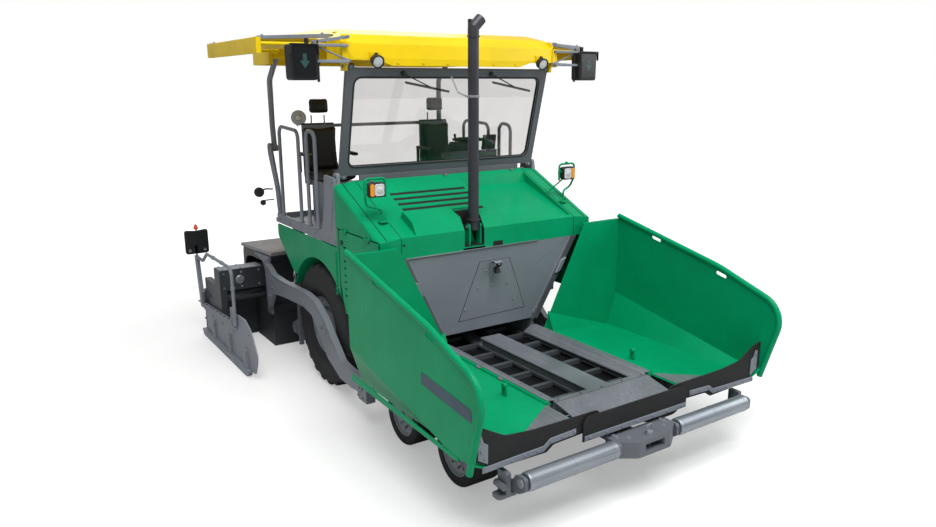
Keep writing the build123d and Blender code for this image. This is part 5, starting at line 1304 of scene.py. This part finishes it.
class PAVER_OT_extension_fittings(Operator):
    """Beam covers, bolts and rod collars of the two extensions"""

    bl_idname = "paver.extension_fittings"
    bl_label = "Extension fittings"

    def execute(self, context):
        for name, side in SIDES:
            cover = merged(slab("x", [(1.735, 1.0105), (1.735, 1.018), (1.955, 1.018), (1.955, 1.0105)], 1.32,
                    1.84, 0.003, 0.002), bolts([(x, d, 1.018) for x in (1.36, 1.58, 1.80)
                        for d in (1.76, 1.93)], (0, 0, 1), 0.009))
            piece(f"extension_beam_cover_{name}", f"extension_{name}", "grey coat", "frame_grey",
                sided(cover, side))
            front = merged(bolts([(x, 1.7295, z) for x in (1.36, 1.58, 1.80) for z in (0.79, 0.97)],
                    (0, -1, 0), 0.009), turned(((0, 0.055), (0.014, 0.055), (0.022, 0.045)),
                    (1.60, 1.7295, 0.88), (0, -1, 0), 28))
            piece(f"extension_beam_bolts_{name}", f"extension_{name}", "bright steel", "bare_steel",
                sided(front, side))
            rods = merged(*(turned(((0, 0.0315), (0.012, 0.036), (0.03, 0.036), (0.04, 0.0315)),
                        (1.79, 1.825, z), (1, 0, 0), 24) for z in (0.62, 0.70)))
            piece(f"extension_rod_collars_{name}", f"extension_{name}", "chrome", "chrome_rod",
                sided(rods, side))
        return {"FINISHED"}


class PAVER_OT_end_gate_fittings(Operator):
    """Marker boards with cone knobs, skid bolts, ledge holes, rail clamps and springs of the end gates"""

    bl_idname = "paver.end_gate_fittings"
    bl_label = "End gate fittings"

    def execute(self, context):
        for name, side in SIDES:
            body = f"extension_{name}"
            x = 1.873
            board = merged(slab("d", [(x - 0.146, 1.085), (x - 0.146, 1.40), (x + 0.01, 1.385),
                        (x + 0.146, 1.40), (x + 0.146, 1.085)], 2.5895, 2.580, 0.03, 0.002),
                *(bar((x - 0.13, x + 0.13), (2.574, 2.581), (z, z + 0.012), 0.003, 0.003)
                    for z in (1.30, 1.335, 1.365)), turned(((0, 0.012), (0.02, 0.012)), (x, 2.585, 1.395),
                    (0, 0, 1), 12))
            piece(f"marker_board_{name}", body, "black plastic", "lamp_black", sided(board, side))
            holes = merged(*(turned(((0, 0.020), (0.0015, 0.020)), (x + s, 2.5795, 1.13), (0, -1, 0), 18)
                    for s in (-0.095, 0.095)))
            piece(f"marker_board_holes_{name}", body, "bright steel", "lamp_black", sided(holes, side))
            knob = turned(((0, 0.026), (0.008, 0.030), (0.04, 0.022), (0.065, 0.008)), (x, 2.585, 1.408),
                (0, 0, 1), 24)
            piece(f"marker_knob_{name}", body, "orange cone", "lamp_black", sided(knob, side))
            # black discs along the ledge: painted shade in its holes
            steps = np.arange(1.16, 2.60, 0.16)
            z = 0.543 - 0.0654 * (steps - 1.06)
            marks = merged(*(turned(((0, 0.014), (0.002, 0.014)), (x + 0.018, d, h - 0.0025), (0, 0, 1), 14)
                    for d, h in zip(steps, z)))
            piece(f"gate_ledge_holes_{name}", body, "painted shade black", "dark_steel", sided(marks, side))
            spots = [(1.8975, d, h) for d, h in ((0.66, 0.50), (0.66, 0.20), (0.90, 0.58), (1.25, 0.38),
                    (1.70, 0.36), (2.15, 0.33), (2.50, 0.22))]
            skid = [(1.9098, d, 0.04) for d in (0.80, 1.10, 1.72, 2.35)]
            outer = [(1.8955, d, h) for d in (0.78, 1.40, 2.06) for h in (0.14, 0.24)]
            piece(f"gate_bolts_{name}", body, "bright steel", "bare_steel",
                sided(merged(bolts(np.array(spots) - (0.032, 0, 0), (1, 0, 0), 0.010),
                        bolts(skid, (1, 0, 0), 0.009), bolts(outer, (1, 0, 0), 0.009)), side))
            clamps = merged(*(turned(RAIL_CLAMP, (x + 0.014, 1.06, h), (0, 0, 1), 20) for h in (0.62, 0.95)),
                *(turned(RAIL_CLAMP, (x + 0.014, d, h), (0, 1, -0.02), 20)
                    for d, h in ((1.45, 1.183), (1.80, 1.176))))
            piece(f"gate_rail_clamps_{name}", body, "grey coat", "frame_grey", sided(clamps, side))
            spring = turned(tuple((0.012 * k / 3, 0.022 if k % 2 else 0.017) for k in range(45)),
                (x + 0.024, 2.39, 0.44), (0, 0, 1), 20)
            piece(f"gate_spring_{name}", body, "bolt zinc", "bare_steel", sided(spring, side))
        return {"FINISHED"}


# ---- Arms, cylinders and augers -----------------------------------------------
class PAVER_OT_arm_fittings(Operator):
    """Edge beads, worn runs, pin caps, cylinder glands and hoses of the tow arms"""

    bl_idname = "paver.arm_fittings"
    bl_label = "Arm fittings"

    def execute(self, context):
        top = [(-1.24, 0.473), (-0.86, 0.478), (-0.70, 0.503), (-0.56, 0.622), (-0.30, 0.852), (-0.06, 0.987),
            (0.20, 1.017), (0.90, 0.992), (1.23, 1.002), (1.42, 1.09)]
        bead = rounded(top, 0.10, closed=False)
        upper = np.insert(bead, 0, 1.325, axis=1)
        tangent = np.gradient(upper, axis=0)
        normal = np.stack([0 * tangent[:, 0], -tangent[:, 2], tangent[:, 1]], -1)
        normal /= np.linalg.norm(normal, axis=1)[:, None]
        across = np.array([1.0, 0, 0])
        flat = rings(place(np.stack([
                        upper + across * 0.034 - normal * 0.004, upper + across * 0.034 + normal * 0.007,
                        upper - across * 0.034 + normal * 0.007,
                        upper - across * 0.034 - normal * 0.004], 1)))
        worn = (bead[:, 0] > -0.66) & (bead[:, 0] < -0.10)
        run = upper[worn] + (0.0205, 0, 0)
        drop = normal[worn]
        patch = rings(place(np.stack([run - drop * 0.03, run - drop * 0.03 + (0.0012, 0, 0),
                        run - drop * 0.17 + (0.0012, 0, 0), run - drop * 0.17], 1)))
        piece("tow_arm_flanges", "screed", "grey coat", "frame_grey", mirrored(flat))
        piece("tow_arm_worn_runs", "screed", "speckled steel", "bare_steel", mirrored(patch))
        caps = mirrored(merged(turned(((0, 0.036), (0.012, 0.036), (0.016, 0.03)), (1.3715, -1.18, 0.40),
                    (1, 0, 0), 24), bolts([(1.3875, -1.18, 0.40)], (1, 0, 0), 0.014)))
        piece("tow_pin_caps", "chassis", "bright steel", "bare_steel", caps)
        scale = mirrored(merged(bar((1.3715, 1.376), (-1.292, -1.255), (0.30, 0.50), 0.004),
                bolts([(1.3715, -1.21, 0.47), (1.3715, -1.12, 0.44), (1.3715, -1.21, 0.29),
                        (1.3715, -1.12, 0.30)], (1, 0, 0), 0.010)))
        piece("tow_point_scale", "chassis", "bright steel", "bare_steel", scale)
        arm_bolts = mirrored(bolts([(1.3455, d, z)
                    for d, z in ((1.30, 0.93), (1.30, 0.83), (1.42, 1.02), (1.42, 0.70), (0.92, 0.93))],
                (1, 0, 0), 0.014))
        piece("tow_arm_bolts", "screed", "bright steel", "bare_steel", arm_bolts)
        slope = np.array([0.0, 0.26, -0.68]) / np.hypot(0.26, 0.68)
        pin = np.array([1.2, 0.66, 1.61])
        glands, hoses = [], []
        glands.append(turned(((0, 0.0385), (0.004, 0.043), (0.03, 0.043), (0.034, 0.032)),
                pin + slope * 0.352, slope, 28))
        glands.append(turned(((0, 0.0385), (0.003, 0.042), (0.02, 0.042), (0.023, 0.0385)),
                pin + slope * 0.06, slope, 28))
        hoses.append(pipe([pin + slope * 0.08 + (-0.035, 0.02, 0), pin + slope * 0.10 + (-0.075, 0.02, 0.01),
                    pin + slope * 0.28 + (-0.075, 0.03, 0)], 0.009, 0.03, across=(0, 1, 0)))
        piece("lift_cylinder_glands", "lift_barrels", "grey coat", "frame_grey", mirrored(merged(*glands)))
        piece("lift_cylinder_hoses", "lift_barrels", "flap", "flap_rubber", mirrored(merged(*hoses)))
        return {"FINISHED"}


class PAVER_OT_auger_fittings(Operator):
    """Bearing housings with their bolts, and collars on the auger shafts"""

    bl_idname = "paver.auger_fittings"
    bl_label = "Auger fittings"

    def execute(self, context):
        for name, side in SIDES:
            bearing = bolts(ring_of(6, 0.055, side * 1.106, (1.22, 0.30)), (side, 0, 0), 0.009)
            housing = turned(((0.0, 0.072), (0.012, 0.072), (0.02, 0.05), (0.024, 0.04)),
                (side * 1.1055, 1.22, 0.30), (side, 0, 0), 32)
            piece(f"auger_bearing_{name}", "chassis", "grey coat", "frame_grey", housing)
            piece(f"auger_bearing_bolts_{name}", "chassis", "bright steel", "bare_steel",
                (bearing[0] + (side * 0.012, 0, 0), bearing[1]))
            hub = turned(COLLAR, (side * 0.14, 1.22, 0.30), (side, 0, 0), 28)
            collar = turned(COLLAR, (side * 1.01, 1.22, 0.30), (side, 0, 0), 28)
            piece(f"auger_collars_{name}", f"auger_{name}", "auger steel", "bare_steel", hub, collar)
        return {"FINISHED"}


class PAVER_OT_frame_fittings(Operator):
    """Bolts and ribs on the frame's flanks, screed guide pads and the knuckles' caps"""

    bl_idname = "paver.frame_fittings"
    bl_label = "Frame fittings"

    def execute(self, context):
        rows = []
        for d in (-2.85, -2.20, -1.90, -1.30, -0.90):
            for z in (0.45, 0.62):
                rows.append((0.6005, d, z))
        piece("frame_bolts", "chassis", "bolt zinc", "bare_steel", mirrored(bolts(rows, (1, 0, 0), 0.012)))
        ribs = mirrored(merged(*(bar((0.6005, 0.63), (d, d + 0.015), (0.36, 0.66))
                    for d in (-2.28, -2.06, -1.42))))
        piece("frame_ribs", "chassis", "grey coat", "frame_grey", ribs)
        guide = mirrored(merged(*(bar((1.1305, 1.1345), (1.02, 1.06), (z, z + 0.03), 0.004)
                    for z in (0.30, 0.70, 1.10)), bolts([(1.105, 1.0195, z) for z in (0.25, 0.60, 0.95)],
                    (0, -1, 0), 0.010)))
        piece("screed_guide_pads", "chassis", "bright steel", "bare_steel", guide)
        for row, station in FRONT_ROWS:
            for name, side in SIDES:
                cap = turned(((0, 0.04), (0.01, 0.04), (0.016, 0.03)), (side * 0.80, station, 0.4325),
                    (0, 0, 1), 24)
                piece(f"{row}_knuckle_cap_{name}", f"{row}_knuckle_{name}", "bolt zinc", "bare_steel", cap,
                    bolts([(side * 0.872, station + s, 0.432) for s in (-0.025, 0.025)], (0, 0, 1), 0.009))
        return {"FINISHED"}


# ---- Stage -------------------------------------------------------------------
class PaverStage(PropertyGroup):
    """Camera and lamps."""

    eye: FloatVectorProperty(name="Eye", description="Where the camera stands", subtype="TRANSLATION",
        unit="LENGTH", default=(-4.241, -6.8395, 3.234))
    turn: FloatVectorProperty(name="Turn", description="Pitch, roll and yaw of the camera", subtype="EULER",
        default=tuple(np.radians((90 - 13.72, 0.13, -33.84))))
    lens: FloatProperty(name="Lens", description="Focal length on a 36 mm sensor", unit="CAMERA",
                        default=28.74)
    key: FloatProperty(name="Key lamp", description="Power of the large overhead lamp", unit="POWER",
        default=2750.0)
    sky: FloatProperty(name="Sky", description="Strength of the even light around", default=0.36)


def soft_lamp(name, place, target, size, power):
    """A rectangular area lamp at a place, aimed at a target."""
    lamp = bpy.data.lights.new(name, "AREA")
    lamp.shape = "RECTANGLE"
    lamp.size, lamp.size_y = size
    lamp.energy = power
    obj = bpy.data.objects.new(name, lamp)
    obj.location = place
    obj.rotation_euler = (Vector(target) - Vector(place)).to_track_quat("-Z", "Y").to_euler()
    bpy.context.scene.collection.objects.link(obj)
    return obj


class PAVER_OT_stage(Operator):
    """Pale floor, soft lamps and the camera"""

    bl_idname = "paver.stage"
    bl_label = "Set the stage"

    def execute(self, context):
        scene, stage = context.scene, context.scene.paver_stage
        scene.view_settings.view_transform = "Standard"

        camera = bpy.data.objects.new("camera", bpy.data.cameras.new("camera"))
        camera.data.sensor_width = 36
        camera.data.lens = stage.lens
        camera.data.shift_x, camera.data.shift_y = -0.0012, 0.0032
        camera.data.clip_end = 400
        camera.location, camera.rotation_euler = stage.eye, stage.turn
        scene.collection.objects.link(camera)
        scene.camera = camera

        world = bpy.data.worlds.new("studio")
        world.use_nodes = True
        tree = world.node_tree
        path = add(tree, "ShaderNodeLightPath")
        seen = add(tree, "ShaderNodeMath", {0: path.outputs["Is Camera Ray"],
                1: path.outputs["Is Transmission Ray"]}, operation="MAXIMUM")
        strength = add(tree, "ShaderNodeMapRange", {"Value": seen.outputs["Value"], "To Min": stage.sky,
                "To Max": 1.0})
        tree.nodes["Background"].inputs["Color"].default_value = (1, 1, 1, 1)
        tree.links.new(strength.outputs["Result"], tree.nodes["Background"].inputs["Strength"])
        scene.world = world

        floor = bpy.data.meshes.new("floor")
        reach = 150.0
        floor.from_pydata([(-reach, -reach, 0), (reach, -reach, 0), (reach, reach, 0), (-reach, reach, 0)],
            [], [(0, 1, 2, 3)])
        floor = bpy.data.objects.new("floor", floor)
        scene.collection.objects.link(floor)
        material, tree, surface, place = shader("studio_floor", Roughness=0.5)
        surface.inputs["Base Color"].default_value = (0.62, 0.62, 0.62, 1)
        surface.inputs["Specular IOR Level"].default_value = 0.25
        # far from the machine the floor glows for camera rays, so that it meets the white sky
        path = add(tree, "ShaderNodeLightPath")
        seen = add(tree, "ShaderNodeMath", {0: path.outputs["Is Camera Ray"],
                1: path.outputs["Is Transmission Ray"]}, operation="MAXIMUM")
        away = add(tree, "ShaderNodeVectorMath", {0: place}, operation="LENGTH")
        far = add(tree, "ShaderNodeMapRange", {"Value": away.outputs["Value"], "From Min": 4.0,
                "From Max": 11.0, "To Min": 0.36, "To Max": 0.9}, interpolation_type="SMOOTHSTEP")
        glow = add(tree, "ShaderNodeMath", {0: far.outputs["Result"], 1: seen.outputs["Value"]},
            operation="MULTIPLY")
        surface.inputs["Emission Color"].default_value = (1, 1, 1, 1)
        tree.links.new(glow.outputs["Value"], surface.inputs["Emission Strength"])
        floor.data.materials.append(material)

        soft_lamp("key", (-3.0, -7.5, 15), (0, -0.5, 1), (12, 9), stage.key)
        soft_lamp("fill", (8, -5, 6), (0, -1, 1), (6, 6), stage.key * 0.1)
        soft_lamp("back", (2, 9, 7), (0, 0, 1), (8, 5), stage.key * 0.1)
        return {"FINISHED"}


class PAVER_PT_pieces(Panel):
    """The machine's pieces, in the order they are made"""

    bl_idname = "PAVER_PT_pieces"
    bl_label = "Asphalt paver"
    bl_space_type = "VIEW_3D"
    bl_region_type = "UI"
    bl_category = "Paver"

    def draw(self, context):
        for operator in OPERATORS:
            self.layout.operator(operator.bl_idname)


OPERATORS = (
    PAVER_OT_stage, PAVER_OT_paint_frame, PAVER_OT_tyres, PAVER_OT_wheel_nuts, PAVER_OT_hopper_fittings,
    PAVER_OT_conveyor_fittings, PAVER_OT_push_bar_fittings, PAVER_OT_hood_fittings, PAVER_OT_exhaust_fittings,
    PAVER_OT_headlights, PAVER_OT_seats, PAVER_OT_console, PAVER_OT_windscreen_fittings,
    PAVER_OT_platform_fittings, PAVER_OT_tunnel_plate_fittings, PAVER_OT_roof_fittings, PAVER_OT_lamp_boxes,
    PAVER_OT_screed_fittings, PAVER_OT_extension_fittings, PAVER_OT_end_gate_fittings, PAVER_OT_arm_fittings,
    PAVER_OT_auger_fittings, PAVER_OT_frame_fittings,
)
GROUPS = (("paver_paint", PaverPaint), ("paver_wheels", PaverWheels), ("paver_seats", PaverSeats),
          ("paver_stage", PaverStage))


def register():
    for name, group in GROUPS:
        bpy.utils.register_class(group)
        setattr(bpy.types.Scene, name, PointerProperty(type=group))
    for item in (*OPERATORS, PAVER_PT_pieces):
        bpy.utils.register_class(item)


def unregister():
    for item in reversed((*OPERATORS, PAVER_PT_pieces)):
        bpy.utils.unregister_class(item)
    for name, group in reversed(GROUPS):
        delattr(bpy.types.Scene, name)
        bpy.utils.unregister_class(group)


def main():
    """Make every piece in order."""
    register()
    for operator in OPERATORS:
        family, name = operator.bl_idname.split(".")
        getattr(getattr(bpy.ops, family), name)()


if __name__ == "__main__":
    main()
